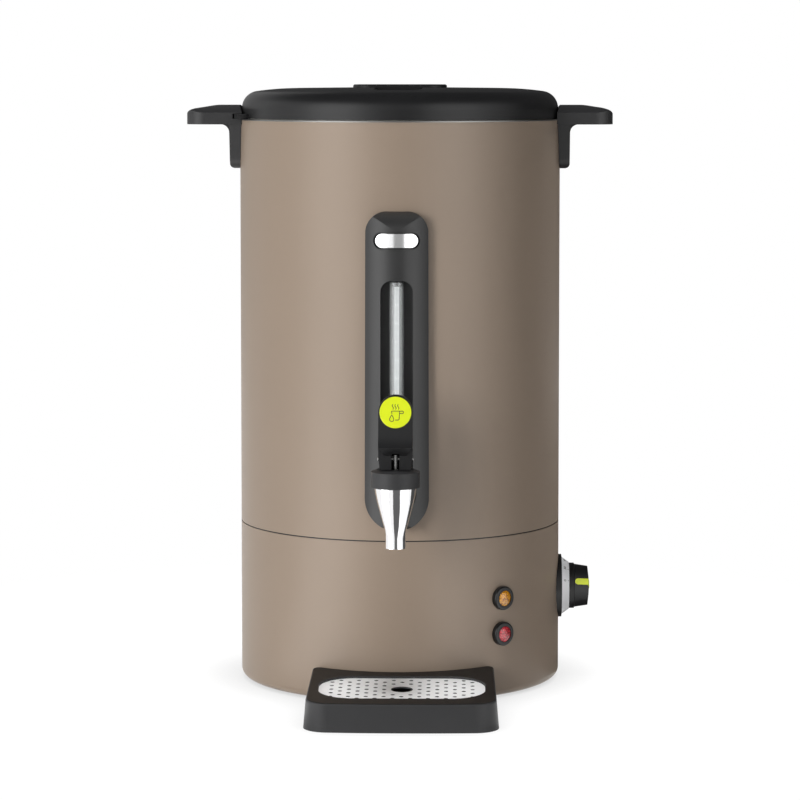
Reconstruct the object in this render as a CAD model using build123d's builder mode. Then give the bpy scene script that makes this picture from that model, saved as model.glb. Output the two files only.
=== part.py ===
from build123d import *
from math import asin, cos, degrees, radians, sin, sqrt, tan
import os

# Hot water urn: a double-walled vessel on a base with the heater, a lever tap with a sight gauge
# in the front panel, a lid with a turn lock, two side handles, and a loose drip tray.
# Millimetres. The origin is on the casing's axis at the table, +Z is up, the tap faces -Y
# and the thermostat knob faces +X.

os.makedirs("parts", exist_ok=True)

# casing
body_r = 134.5          # outside of the casing
sheet = 0.8             # sheet of the casing and the vessel
foot_gap = 1.5          # casing above the table
edge_r = 6.0            # rolled bottom edge
seam_z = 133.5          # joint of base and upper shell
seam_gap = 1.0
rim_z = 472.0           # vessel's rolled rim
rim_t = 1.0
rim_over = 0.2          # rim past the casing
ring_wall = 1.2         # joining ring behind the seam
ring_lap = 14.0

# clearances
seat = 0.05             # between nested faces that are fixed together
run = 0.06              # radial, between a shaft and its bush
ease = 0.3              # between pieces that move past each other

# vessel
vessel_r = body_r - 6.5         # inside
vessel_floor = seam_z - 5.5
vessel_corner = 10.0

# base
base_hole_r = body_r - 24.5
cover_t = 0.8
cover_lap = 6.0
foot_ring_in = base_hole_r - 6.0
foot_ring_out = base_hole_r + 8.0
rod_r = 2.5
rod_head_r = 7.0
rod_head_t = 1.4
vent_count = 24
vent_length = 22.0
vent_width = 4.0
vent_pitch_r = base_hole_r - 40.0

# heater
plate_r = vessel_r - 38.0
plate_t = 6.0
element_r = plate_r - 20.0
element_tube_r = 4.2
element_gap_angle = 40.0
terminal_length = 18.0
cutout_r = 8.5
cutout_t = 7.0
cutout_x = element_r - 32.0
tab_length = 4.0
tab_width = 6.3
tab_t = 0.8
bulb_r = 3.0
bulb_length = 64.0
bulb_y = 30.0 - element_r
capillary_r = 0.9
capillary_bend = 7.0

# thermostat and knob, on +X, with their distances from the casing's axis
knob_z = 75.6
switch_side = 36.0
switch_depth = 24.0
switch_face = body_r - 6.5
mount_side = 40.0
mount_t = 1.2
bush_r = 5.0
shaft_r = 3.0
bezel_r = 26.5
bezel_face = body_r + 2.5
bezel_depth = 10.0      # blank inside the casing, before it is cut back
dial_base_r = bezel_r - 2.2
dial_top_r = dial_base_r - 4.4
dial_face = bezel_face + 6.3
dial_bore_r = 11.0
knob_r = dial_top_r - 0.7
knob_skirt = 4.0
knob_grip_r = knob_r - 1.0
knob_top_r = knob_r - 2.7
knob_edge = dial_face + 15.9
knob_crown = knob_edge + 1.4
pointer_width = 5.2
pointer_depth = 1.6
pointer_proud = 0.35
pointer_start = dial_face + 5.1
pointer_angle = 20.0    # above -Y
switch_screw_r = 1.5
switch_screw_y = 14.0

# lamps, right of the front
lamp_azimuth = 39.2
lamp_heights = {"amber": 82.8, "red": 53.4}
lamp_bezel_r = 9.75
lamp_bezel_out = 4.6
lamp_barrel_r = lamp_bezel_r - 2.75
lamp_barrel_in = 15.0
lens_r = lamp_barrel_r - 0.6
lens_crown = 2.5
lens_edge = 0.6         # lens edge below the bezel's face
lamp_nut_r = lamp_barrel_r + 3.5
lamp_nut_t = 3.6

# cord entry at the back
entry_z = 32.0
entry_bore_r = 4.1
entry_barrel_r = 7.9
entry_flange_r = 10.5
entry_flange_t = 2.2
entry_inside = 12.0

# handles
handle_out = 43.7
handle_tip = body_r + handle_out
grip_half = 30.0
grip_under = rim_z - 4.5
grip_edge_top = grip_under + 9.9
grip_rise = 6.2         # crown above the grip's edges
grip_corner = 15.0
grip_shoulder = 28.0    # from the tip to the full height
tip_run = 12.0
tip_rise = 5.2
root_depth = 20.0       # blank inside the casing, before it is cut back
leg_face = body_r + 7.8
leg_drop = 41.6
leg_bottom = rim_z - leg_drop
leg_half_top = 27.0
leg_half_bottom = 17.0
leg_blend = 7.0
toe_round = 4.0
handle_screw_z = (rim_z - 30.0, rim_z - 15.0)
handle_screw_r = 2.5
handle_plate_t = 1.2
handle_plate_half = 11.0
handle_plate_lap = 8.0  # plate past the screws

# lid
skirt_r = body_r - 1.5
lid_gap = 0.7
skirt_top = rim_z + 8.8
shoulder_r = 14.5
shoulder_turn = 82.0    # degrees of shoulder before the brow begins
brow_r = 250.0
brow_turn = 89.2        # degrees at which the brow meets the crown
lid_wall = 3.0
lug_out = body_r + 7.0
lug_low = rim_z + 0.6
lug_high = rim_z + 4.2
lug_start = 13.5        # degrees in front of the handle's middle
lug_width = 6.0
well_half = 19.5
well_reach = skirt_r - 27.0
well_floor = rim_z + 9.0
well_corner = 12.0
bar_half = 39.5
bar_depth = 32.0
bar_under = rim_z + 21.0
bar_t = 7.7
boss_drop = 4.0
lid_screw_x = bar_half - 9.5
lid_screw_r = 2.0
liner_r = vessel_r - 1.2
liner_low = rim_z - 9.0
liner_flange = rim_z + 3.0
liner_t = 0.8

# front panel
panel_half = 25.9
panel_low = seam_z + 10.6
panel_drop = 72.0       # under the vessel's rim
panel_high = rim_z - panel_drop
panel_out = 14.0        # in front of the casing
panel_curve = 36.0
panel_top_half = 25.2
panel_top_round = 17.0
panel_foot_round = 25.0
panel_crown_r = 16.0
panel_chin_r = 8.0
slot_half = 13.0
slot_drop = 55.0
slot_high = panel_high - slot_drop
slot_round = 9.0
slot_floor = 1.5        # left in front of the casing
window_low = panel_low + 16.9
window_high = window_low + 38.0
panel_screw_in = (70.9, 45.0)   # from the panel's ends
panel_screw_z = (panel_low + panel_screw_in[0], panel_high - panel_screw_in[1])
panel_screw_azimuth = 8.0
panel_screw_r = 1.5

# badge plate, bare
badge_length = 34.0
badge_height = 11.0
badge_z = panel_high - 23.0
badge_t = 1.2
badge_border = 1.6      # recess around the plate
badge_sunk = 1.0

# tap
tap_out = 50.5          # from the casing to the tap's axis
shank_z = seam_z + 41.0
shank_r = 9.0
shank_bore = 6.0
shank_in = 16.0         # shank past the vessel's wall
flange_r = 13.0
flange_t = 2.5
washer_r = 16.0
washer_t = 16.5         # from the casing through the panel's window
nozzle_drop = 38.3      # nozzle's end under the shank's axis
nozzle_r = 8.05
nozzle_bore = 5.5
nozzle_straight = 9.0
cone_top_r = 16.8
cone_rise = 10.3        # cone's top above the shank's axis
chamber_r = 10.4
chamber_wall = 1.6
seat_drop = 11.5        # valve seat under the shank's axis
nut_across = 27.0
nut_t = 7.0
inner_washer_t = 3.5
bonnet_r = 19.2
bonnet_t = 14.0
spigot = 2.8            # bonnet's lip inside the chamber

# sight gauge
tube_r = 5.6
tube_wall = 1.2
tube_out = 7.3          # from the casing to the tube's axis
tube_high = slot_high - 1.5
strip_half = 1.9
strip_t = 0.5
strip_low_gap = 4.0     # above the socket
strip_high_gap = 3.8    # under the tube's top
socket_r = 6.6
socket_rise = 21.5      # above the shank's axis
socket_depth = 8.5
gauge_seal_t = 1.5
socket_port_r = 3.0
plug_t = 1.0
plug_depth = 3.0

# lever, stem and spring
stem_r = 2.25
seal_r = 8.5
seal_t = 7.0
stem_grip = 4.0         # stem inside the seal
stem_proud = 11.4       # stem above the bonnet
pin_r = 1.5
pin_below = 3.2         # under the stem's top
pin_proud = 0.7         # past the lever's cheeks
foot_front = 8.5        # hinge edge in front of the stem
foot_back = 11.0
lever_half = 13.5
lever_tilt = 20.0
lever_slot = 6.3
lip_rise = 18.2
lip_out = 4.5
knee_rise = 16.0        # above the lip
heel_rise = 16.0
heel_top = 24.0
disc_rise = 45.6        # disc's middle above the bonnet
disc_r = 12.5
disc_t = 1.4
disc_depth = 1.0
disc_lean = 14.0
disc_set_back = 4.4
wire_r = 0.5
spring_r = 6.0
spring_turns = 4.0

# drip tray and grate
tray_x = 5.0            # the loose tray stands a little right of the tap
tray_gap = 0.6          # tray behind the casing's curve
tray_out = 106.0        # from the casing to the tray's front
tray_bow = 3.0
tray_front_half = 76.8
tray_back_half = 75.8
tray_horn = 30.5        # the back corners reach past the casing's front
tray_corner = 20.0
horn_round = 5.0
tray_wall = 3.5
tray_draft = 5.0
deck_back_z = 27.5
deck_front_z = 22.2
grate_length = 132.0
grate_depth = 70.0
grate_round = 28.0
grate_t = 1.2
grate_sunk = 1.8
grate_ledge = 4.0
basin_floor = 4.0
basin_lift = 1.5
basin_wall = 2.5
deck_t = 4.0
deck_round = 1.8
drain_r = 1.7
drain_pitch = 7.0
drain_row = 5.6
drain_border = 3.5
finger_hole_r = 8.7


# A plane through the casing's axis: local y points straight out at an azimuth that is counted
# from the front (-Y) towards +X, and local x points up.
def spoke(azimuth, height):
    outward = Vector(sin(radians(azimuth)), -cos(radians(azimuth)), 0)
    return Plane(origin=(0, 0, height), x_dir=(0, 0, 1), z_dir=Vector(0, 0, 1).cross(outward))


# An upright plane whose local y axis is a vertical line in the plane of symmetry
def upright(y):
    return Plane(origin=(0, y, 0), x_dir=(1, 0, 0), z_dir=(0, -1, 0))


# Turn a closed outline of (radius, distance along the axis) about the local y axis of a plane
def turned(points, base=Plane.XZ, rounds=(), mode=Mode.ADD):
    with BuildSketch(base) as section:
        with BuildLine():
            Polyline(*points, close=True)
        make_face()
        for point, radius in rounds:
            fillet(section.vertices().sort_by_distance(point)[0], radius)
    revolve(section.sketch, axis=Axis(base.origin, base.y_dir), mode=mode)


# A round bar or hole from one distance along the axis to another
def round_bar(radius, near, far, base=Plane.XZ, mode=Mode.ADD):
    turned([(0, near), (radius, near), (radius, far), (0, far)], base, mode=mode)


# A tube about the local y axis of a plane
def tube(inner, outer, near, far, base=Plane.XZ, mode=Mode.ADD):
    turned([(inner, near), (outer, near), (outer, far), (inner, far)], base, mode=mode)


casing_in = body_r - sheet
tap_y = -body_r - tap_out
tube_y = -body_r - tube_out
panel_face = body_r + panel_out
slot_back = body_r + slot_floor
bar_top = bar_under + bar_t
nozzle_low = shank_z - nozzle_drop
cone_top = shank_z + cone_rise
seat_z = shank_z - seat_drop
bonnet_top = cone_top + bonnet_t
spigot_low = cone_top - spigot
socket_high = shank_z + socket_rise
tube_low = socket_high - socket_depth
stem_top = bonnet_top + stem_proud
pin_z = stem_top - pin_below
disc_z = bonnet_top + disc_rise
tray_front = body_r + tray_out
tray_back = body_r - tray_horn
grip_crown = grip_edge_top + grip_rise
handle_plate_z = (handle_screw_z[0] - handle_plate_lap, handle_screw_z[1] + handle_plate_lap)
washer_face = body_r + washer_t
washer_back = vessel_r - inner_washer_t
shank_end = vessel_r - shank_in
seal_top = seat_z + seal_t
stem_bottom = seal_top - stem_grip
pin_half = lever_half + pin_proud
strip_low = socket_high + strip_low_gap
strip_high = tube_high - strip_high_gap
vessel_out = vessel_r + sheet
shell_low = seam_z + seam_gap / 2
shell_high = rim_z - rim_t
base_high = seam_z - seam_gap / 2
front = spoke(0, shank_z)
tap_line = upright(tap_y)
knob_line = spoke(90, knob_z)
entry_line = spoke(180, entry_z)
lamp_lines = {colour: spoke(lamp_azimuth, z) for colour, z in lamp_heights.items()}
handle_lines = [spoke(side, z) for side in (-90, 90) for z in handle_screw_z]
panel_lines = [spoke(a, z) for a in (-panel_screw_azimuth, panel_screw_azimuth) for z in panel_screw_z]
switch_lines = [
    Plane(origin=(0, y, knob_z), x_dir=(0, 0, 1), z_dir=(0, 1, 0)) for y in (-switch_screw_y, switch_screw_y)
]

# ---- casing and vessel ----

with BuildPart() as base_shell:
    turned(
        [
            (base_hole_r, foot_gap), (body_r, foot_gap), (body_r, base_high),
            (casing_in, base_high), (casing_in, foot_gap + sheet), (base_hole_r, foot_gap + sheet),
        ],
        rounds=[((body_r, foot_gap), edge_r), ((casing_in, foot_gap + sheet), edge_r - sheet)],
    )
    for line in lamp_lines.values():
        round_bar(lamp_barrel_r + seat, 0, body_r + 1, line, Mode.SUBTRACT)
    round_bar(bush_r + seat, 0, body_r + 1, knob_line, Mode.SUBTRACT)
    for line in switch_lines:
        round_bar(switch_screw_r + seat, 0, body_r + 1, line, Mode.SUBTRACT)
    round_bar(entry_barrel_r + seat, 0, body_r + 1, entry_line, Mode.SUBTRACT)
base_shell.part.label = "base_shell"
export_step(base_shell.part, "parts/base_shell.step")

with BuildPart() as outer_shell:
    tube(casing_in, body_r, shell_low, shell_high)
    round_bar(shank_r + ease, 0, body_r + 1, front, Mode.SUBTRACT)
    for line in panel_lines:
        round_bar(panel_screw_r + seat, 0, body_r + 1, line, Mode.SUBTRACT)
    for line in handle_lines:
        round_bar(handle_screw_r + seat, 0, body_r + 1, line, Mode.SUBTRACT)
outer_shell.part.label = "outer_shell"
export_step(outer_shell.part, "parts/outer_shell.step")

# A ring behind the seam that joins both shells, with a bead that shows in the seam
# and a shelf under the vessel
ring_out = casing_in - seat
ring_in = ring_out - ring_wall
shelf_in = vessel_r - vessel_corner
vessel_under = vessel_floor - sheet
with BuildPart() as joining_ring:
    turned([
        (shelf_in, vessel_under - ring_wall - seat), (ring_out, vessel_under - ring_wall - seat),
        (ring_out, seam_z + ring_lap), (ring_in, seam_z + ring_lap),
        (ring_in, vessel_under - seat), (shelf_in, vessel_under - seat),
    ])
joining_ring.part.label = "joining_ring"
export_step(joining_ring.part, "parts/joining_ring.step")

with BuildPart() as inner_vessel:
    turned(
        [
            (0, vessel_under), (vessel_out, vessel_under), (vessel_out, rim_z - rim_t),
            (body_r + rim_over, rim_z - rim_t), (body_r + rim_over, rim_z), (vessel_r, rim_z),
            (vessel_r, vessel_floor), (0, vessel_floor),
        ],
        rounds=[
            ((vessel_out, vessel_under), vessel_corner + sheet),
            ((vessel_r, vessel_floor), vessel_corner),
        ],
    )
    round_bar(shank_r + seat, 0, body_r, front, Mode.SUBTRACT)
inner_vessel.part.label = "inner_vessel"
export_step(inner_vessel.part, "parts/inner_vessel.step")

# ---- bottom ----

base_deck = foot_gap + sheet
cover_top = base_deck + cover_t
with BuildPart() as bottom_cover:
    tube(rod_r + seat, base_hole_r + cover_lap, base_deck, cover_top)
    with BuildSketch(Plane.XY.offset(base_deck)):
        with PolarLocations(vent_pitch_r, vent_count):
            SlotOverall(vent_length, vent_width)
    extrude(amount=cover_t, mode=Mode.SUBTRACT)
bottom_cover.part.label = "bottom_cover"
export_step(bottom_cover.part, "parts/bottom_cover.step")

with BuildPart() as foot_ring:
    turned([
        (foot_ring_in, 0), (foot_ring_out, 0), (foot_ring_out, foot_gap), (base_hole_r - seat, foot_gap),
        (base_hole_r - seat, base_deck), (foot_ring_in, base_deck),
    ])
foot_ring.part.label = "foot_ring"
export_step(foot_ring.part, "parts/foot_ring.step")

# ---- heater ----

plate_low = vessel_under - plate_t
element_z = plate_low - element_tube_r / 3
with BuildPart() as heat_plate:
    round_bar(plate_r, plate_low, vessel_under)
    with BuildSketch(Plane.XZ):
        with Locations((element_r, element_z)):
            Circle(element_tube_r + seat)
    revolve(axis=Axis.Z, mode=Mode.SUBTRACT)
    round_bar(rod_r + seat, plate_low, vessel_under - plate_t / 3, mode=Mode.SUBTRACT)
heat_plate.part.label = "heat_plate"
export_step(heat_plate.part, "parts/heat_plate.step")

# A tubular element bent to an open ring, its two cold ends turned down
element_ends = [
    (element_r * cos(radians(180 + side * element_gap_angle / 2)),
     element_r * sin(radians(180 + side * element_gap_angle / 2)))
    for side in (-1, 1)
]
with BuildPart() as heating_element:
    with BuildSketch(Plane.XZ) as element_section:
        with Locations((element_r, element_z)):
            Circle(element_tube_r)
    revolve(axis=Axis.Z, revolution_arc=360 - element_gap_angle)
    heating_element.part = heating_element.part.rotate(Axis.Z, -180 + element_gap_angle / 2)
    with BuildSketch(Plane.XY.offset(element_z - terminal_length)):
        with Locations(*element_ends):
            Circle(element_tube_r)
    extrude(amount=terminal_length)
heating_element.part.label = "heating_element"
export_step(heating_element.part, "parts/heating_element.step")

with BuildPart() as boil_dry_cutout:
    with BuildSketch(Plane.XY.offset(plate_low - cutout_t)):
        with Locations((cutout_x, 0)):
            Circle(cutout_r)
    extrude(amount=cutout_t)
    with BuildSketch(Plane.XY.offset(plate_low - cutout_t - tab_length)):
        with Locations((cutout_x - cutout_r / 2, 0), (cutout_x + cutout_r / 2, 0)):
            Rectangle(tab_t, tab_width)
    extrude(amount=tab_length)
boil_dry_cutout.part.label = "boil_dry_cutout"
export_step(boil_dry_cutout.part, "parts/boil_dry_cutout.step")

# The long rod that pulls the bottom cover up to the heater plate
with BuildPart() as centre_rod:
    round_bar(rod_r, base_deck - rod_head_t, vessel_under - plate_t / 3 - seat)
    round_bar(rod_head_r, base_deck - rod_head_t, base_deck)
centre_rod.part.label = "centre_rod"
export_step(centre_rod.part, "parts/centre_rod.step")

# ---- thermostat ----

switch_back = switch_face - switch_depth
with BuildPart() as thermostat_body:
    with BuildSketch(Plane.YZ.offset(switch_back)):
        with Locations((0, knob_z)):
            RectangleRounded(switch_side, switch_side, 3)
    extrude(amount=switch_depth)
    with BuildSketch(Plane.YZ.offset(switch_face)):
        with Locations((0, knob_z)):
            RectangleRounded(mount_side, switch_side, 3)
    extrude(amount=mount_t)
    round_bar(bush_r, switch_face, bezel_face, knob_line)
    round_bar(shaft_r + run, switch_face - 4, bezel_face, knob_line, Mode.SUBTRACT)
    for line in switch_lines:
        round_bar(switch_screw_r + seat, switch_face - 6, bezel_face, line, Mode.SUBTRACT)
thermostat_body.part.label = "thermostat_body"
export_step(thermostat_body.part, "parts/thermostat_body.step")

with BuildPart() as thermostat_screws:
    for line in switch_lines:
        round_bar(switch_screw_r, switch_face - 5, body_r, line)
        round_bar(switch_screw_r * 1.9, body_r, body_r + 1.6, line)
thermostat_screws.part.label = "thermostat_screws"
export_step(thermostat_screws.part, "parts/thermostat_screws.step")

# The sensing bulb lies under the heater plate, and its capillary runs to the thermostat
bulb_z = plate_low - bulb_r - seat
bulb_end = Vector(bulb_length / 2, bulb_y, bulb_z)
capillary_run = Vector(switch_back, -switch_side / 6, knob_z + switch_side / 4) - bulb_end
capillary_shares = [(0, 0, 0), (0.14, 0, 0), (0.33, 0.18, 0.4), (0.58, 0.71, 0.61), (0.81, 1, 1), (1, 1, 1)]
with BuildPart() as thermostat_bulb:
    with BuildSketch(Plane.YZ.offset(-bulb_length / 2)):
        with Locations((bulb_y, bulb_z)):
            Circle(bulb_r)
    extrude(amount=bulb_length)
    with BuildLine() as capillary_route:
        FilletPolyline(
            *[
                bulb_end + Vector(*(share * length for share, length in zip(shares, capillary_run)))
                for shares in capillary_shares
            ],
            radius=capillary_bend,
        )
    with BuildSketch(Plane.YZ.offset(bulb_length / 2)):
        with Locations((bulb_y, bulb_z)):
            Circle(capillary_r)
    sweep(path=capillary_route.wire())
thermostat_bulb.part.label = "thermostat_bulb"
export_step(thermostat_bulb.part, "parts/thermostat_bulb.step")

# ---- dial and knob ----

with BuildPart() as dial_bezel:
    tube(bush_r + seat, bezel_r, body_r - bezel_depth, bezel_face, knob_line)
    round_bar(body_r + seat, 0, rim_z, mode=Mode.SUBTRACT)
    for line in switch_lines:
        round_bar(switch_screw_r * 2.2, 0, body_r + 2, line, Mode.SUBTRACT)
dial_bezel.part.label = "dial_bezel"
export_step(dial_bezel.part, "parts/dial_bezel.step")

with BuildPart() as dial_ring:
    turned(
        [
            (dial_bore_r, bezel_face), (dial_base_r, bezel_face), (dial_top_r, dial_face),
            (dial_bore_r, dial_face),
        ],
        knob_line,
    )
dial_ring.part.label = "dial_ring"
export_step(dial_ring.part, "parts/dial_ring.step")

knob_low = dial_face + ease
skirt_high = knob_low + knob_skirt


# The knob's outside, moved out by a distance
def knob_shape(out, mode=Mode.ADD):
    turned(
        [
            (0, knob_low), (knob_r + out, knob_low), (knob_r + out, skirt_high),
            (knob_grip_r + out, skirt_high + 0.4), (knob_top_r + out, knob_edge + out),
            (knob_top_r / 2, knob_crown + out - 0.4), (0, knob_crown + out),
        ],
        knob_line,
        mode=mode,
    )


# The lime pointer runs up one side of the knob and over its end
pointer_plane = Plane(knob_line.origin, x_dir=(1, 0, 0), z_dir=Vector(0, 1, 0).rotate(Axis.X, -pointer_angle))
pointer_reach = knob_r + 4


def pointer_block(grow, mode=Mode.ADD):
    with BuildSketch(pointer_plane) as strip:
        with Locations(((pointer_start - grow + knob_crown + 4) / 2, 0)):
            Rectangle(knob_crown + 4 - pointer_start + grow, pointer_width + 2 * grow)
        fillet(strip.vertices().group_by(Axis.X)[0], pointer_width / 2)
    extrude(strip.sketch, amount=-pointer_reach, mode=mode)


with BuildPart() as knob_pointer:
    pointer_block(0)
    knob_shape(pointer_proud, Mode.INTERSECT)
    knob_shape(-pointer_depth, Mode.SUBTRACT)
knob_pointer.part.label = "knob_pointer"
export_step(knob_pointer.part, "parts/knob_pointer.step")

with BuildPart() as pointer_seat:
    pointer_block(seat)
    knob_shape(pointer_proud + 1, Mode.INTERSECT)
    knob_shape(-pointer_depth - seat, Mode.SUBTRACT)

shaft_end = knob_edge - 6
with BuildPart() as knob:
    knob_shape(0)
    round_bar(shaft_r + seat, knob_low, shaft_end + seat, knob_line, Mode.SUBTRACT)
    add(pointer_seat.part, mode=Mode.SUBTRACT)
knob.part.label = "knob"
export_step(knob.part, "parts/knob.step")

with BuildPart() as knob_shaft:
    round_bar(shaft_r, switch_face - 3.5, shaft_end, knob_line)
knob_shaft.part.label = "knob_shaft"
export_step(knob_shaft.part, "parts/knob_shaft.step")

# ---- lamps ----

lens_seat = body_r - 4
with BuildPart() as lamp_holders:
    for line in lamp_lines.values():
        turned(
            [
                (lens_r + seat, lens_seat), (lamp_barrel_r, lens_seat), (lamp_barrel_r, body_r - 2),
                (lamp_bezel_r, body_r - 2), (lamp_bezel_r, body_r + lamp_bezel_out),
                (lens_r + seat, body_r + lamp_bezel_out),
            ],
            line,
            rounds=[((lamp_bezel_r, body_r + lamp_bezel_out), 1.6)],
        )
    round_bar(body_r + seat, 0, rim_z, mode=Mode.SUBTRACT)
    for line in lamp_lines.values():
        tube(lens_r + seat, lamp_barrel_r, lens_seat, body_r + 1, line)
        round_bar(lamp_barrel_r, body_r - lamp_barrel_in, lens_seat, line)
lamp_holders.part.label = "lamp_holders"
export_step(lamp_holders.part, "parts/lamp_holders.step")

lamp_nut_face = sqrt(casing_in**2 - lamp_nut_r**2) - seat
with BuildPart() as lamp_nuts:
    for line in lamp_lines.values():
        tube(lamp_barrel_r + seat, lamp_nut_r, lamp_nut_face - lamp_nut_t, lamp_nut_face, line)
lamp_nuts.part.label = "lamp_nuts"
export_step(lamp_nuts.part, "parts/lamp_nuts.step")


# A lens with a ball-shaped crown, standing on the bottom of its barrel
def lens(line):
    edge = body_r + lamp_bezel_out - lens_edge
    crown = edge + lens_crown
    ball_r = (lens_r**2 + lens_crown**2) / (2 * lens_crown)
    half_angle = asin(lens_r / ball_r) / 2
    halfway = (ball_r * sin(half_angle), crown - ball_r + ball_r * cos(half_angle))
    with BuildSketch(line) as section:
        with BuildLine():
            Polyline((0, crown), (0, lens_seat + seat), (lens_r, lens_seat + seat), (lens_r, edge))
            ThreePointArc((lens_r, edge), halfway, (0, crown))
        make_face()
    revolve(section.sketch, axis=Axis(line.origin, line.y_dir))


with BuildPart() as amber_lens:
    lens(lamp_lines["amber"])
amber_lens.part.label = "amber_lens"
export_step(amber_lens.part, "parts/amber_lens.step")

with BuildPart() as red_lens:
    lens(lamp_lines["red"])
red_lens.part.label = "red_lens"
export_step(red_lens.part, "parts/red_lens.step")

# ---- cord entry and terminals ----

with BuildPart() as cord_bush:
    tube(entry_bore_r, entry_barrel_r, body_r - entry_inside, body_r, entry_line)
    tube(entry_bore_r, entry_flange_r, body_r - 1, body_r + entry_flange_t, entry_line)
    turned(
        [
            (entry_barrel_r, casing_in - 3), (entry_flange_r - 1, casing_in - 3),
            (entry_flange_r - 1, body_r), (entry_barrel_r, body_r),
        ],
        entry_line,
    )
    tube(casing_in - seat, body_r + seat, 0, 2 * entry_z, mode=Mode.SUBTRACT)
    tube(entry_bore_r, entry_barrel_r, body_r - entry_inside, body_r + entry_flange_t, entry_line)
cord_bush.part.label = "cord_bush"
export_step(cord_bush.part, "parts/cord_bush.step")

block_size = (46.0, 20.0, 16.0)
block_place = (-30.0, 58.0)
with BuildPart() as terminal_block:
    with BuildSketch(Plane.XY.offset(cover_top)):
        with Locations(block_place):
            Rectangle(block_size[0], block_size[1])
    extrude(amount=block_size[2])
    chamfer(terminal_block.edges().group_by(Axis.Z)[-1].filter_by(Axis.X), 3)
    with BuildSketch(Plane.XY.offset(cover_top + block_size[2])):
        with Locations(block_place):
            with GridLocations(13, 9, 3, 2):
                Circle(2)
    extrude(amount=-8, mode=Mode.SUBTRACT)
terminal_block.part.label = "terminal_block"
export_step(terminal_block.part, "parts/terminal_block.step")

# ---- handles ----

lug_path_out = lug_out + 0.8
handle_root = body_r - root_depth
tip_edge = (-handle_tip, grip_edge_top - 1)
shoulder = (grip_shoulder - handle_tip, grip_crown)


# One handle on -X: a domed grip on a leg that follows the casing, with the slot for the lid's lug
def handle_solid():
    with BuildSketch(Plane.XY.offset(grip_under)) as plan:
        with Locations((-(handle_tip + handle_root) / 2, 0)):
            Rectangle(handle_tip - handle_root, 2 * grip_half)
        fillet(plan.vertices().group_by(Axis.X)[0], grip_corner)
    extrude(plan.sketch, amount=grip_crown - grip_under)
    with BuildSketch(Plane.YZ) as crown:
        with BuildLine():
            ThreePointArc((-grip_half, grip_edge_top), (0, grip_crown), (grip_half, grip_edge_top))
            Polyline(
                (grip_half, grip_edge_top), (grip_half, grip_under), (-grip_half, grip_under),
                (-grip_half, grip_edge_top),
            )
        make_face()
    extrude(crown.sketch, amount=-handle_tip - 1, mode=Mode.INTERSECT)
    with BuildSketch(Plane.XZ) as side:
        with BuildLine():
            Polyline(
                (-handle_root, grip_crown), (-handle_root, grip_under), (-handle_tip, grip_under), tip_edge,
            )
            Spline(
                tip_edge, (tip_edge[0] + tip_run, tip_edge[1] + tip_rise), shoulder,
                tangents=((0.5, 1), (1, 0)),
            )
            Line(shoulder, (-handle_root, grip_crown))
        make_face()
    extrude(side.sketch, amount=grip_half + 1, both=True, mode=Mode.INTERSECT)
    with BuildSketch(Plane.YZ.offset(-leg_face)) as leg:
        with BuildLine():
            Polyline(
                (-leg_half_top, grip_under + 1), (-leg_half_bottom, leg_bottom), (leg_half_bottom, leg_bottom),
                (leg_half_top, grip_under + 1), close=True,
            )
        make_face()
        fillet(leg.vertices().group_by(Axis.Y)[0], leg_half_bottom * 0.7)
    extrude(leg.sketch, amount=leg_face - handle_root)
    with BuildSketch(Plane.XZ.offset(leg_half_top - 2)) as blend:
        with BuildLine():
            Polyline(
                (-leg_face + 1, grip_under - leg_blend), (-leg_face + 1, grip_under + 1),
                (-leg_face - leg_blend, grip_under + 1), (-leg_face - leg_blend, grip_under),
            )
            RadiusArc((-leg_face - leg_blend, grip_under), (-leg_face, grip_under - leg_blend), leg_blend)
            Line((-leg_face, grip_under - leg_blend), (-leg_face + 1, grip_under - leg_blend))
        make_face()
    extrude(blend.sketch, amount=-2 * (leg_half_top - 2))
    with BuildSketch(Plane.XZ.offset(leg_half_top)) as toe:
        with BuildLine():
            Polyline(
                (-leg_face, leg_bottom + toe_round), (-leg_face - 1, leg_bottom + toe_round),
                (-leg_face - 1, leg_bottom - 1), (toe_round - leg_face, leg_bottom - 1),
                (toe_round - leg_face, leg_bottom),
            )
            CenterArc((toe_round - leg_face, leg_bottom + toe_round), toe_round, 180, 90)
        make_face()
    extrude(toe.sketch, amount=-2 * leg_half_top, mode=Mode.SUBTRACT)
    round_bar(body_r + rim_over + seat, 0, bar_top, mode=Mode.SUBTRACT)
    with BuildSketch(Plane.XY.offset(lug_low - ease)) as lug_path:
        with Locations((-lug_path_out / 2, -lug_path_out * sin(radians(14)))):
            Rectangle(lug_path_out, 2 * lug_path_out * sin(radians(14)) + 6)
        Circle(lug_path_out, mode=Mode.INTERSECT)
    extrude(lug_path.sketch, amount=lug_high - lug_low + 2 * ease, mode=Mode.SUBTRACT)
    for line in handle_lines[:2]:
        round_bar(handle_screw_r + seat, 0, leg_face - 2, line, Mode.SUBTRACT)


with BuildPart() as left_handle:
    handle_solid()
left_handle.part.label = "left_handle"
export_step(left_handle.part, "parts/left_handle.step")

# The right handle is the same moulding turned half a turn
with BuildPart() as right_handle:
    handle_solid()
    right_handle.part = right_handle.part.rotate(Axis.Z, 180)
right_handle.part.label = "right_handle"
export_step(right_handle.part, "parts/right_handle.step")

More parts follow.
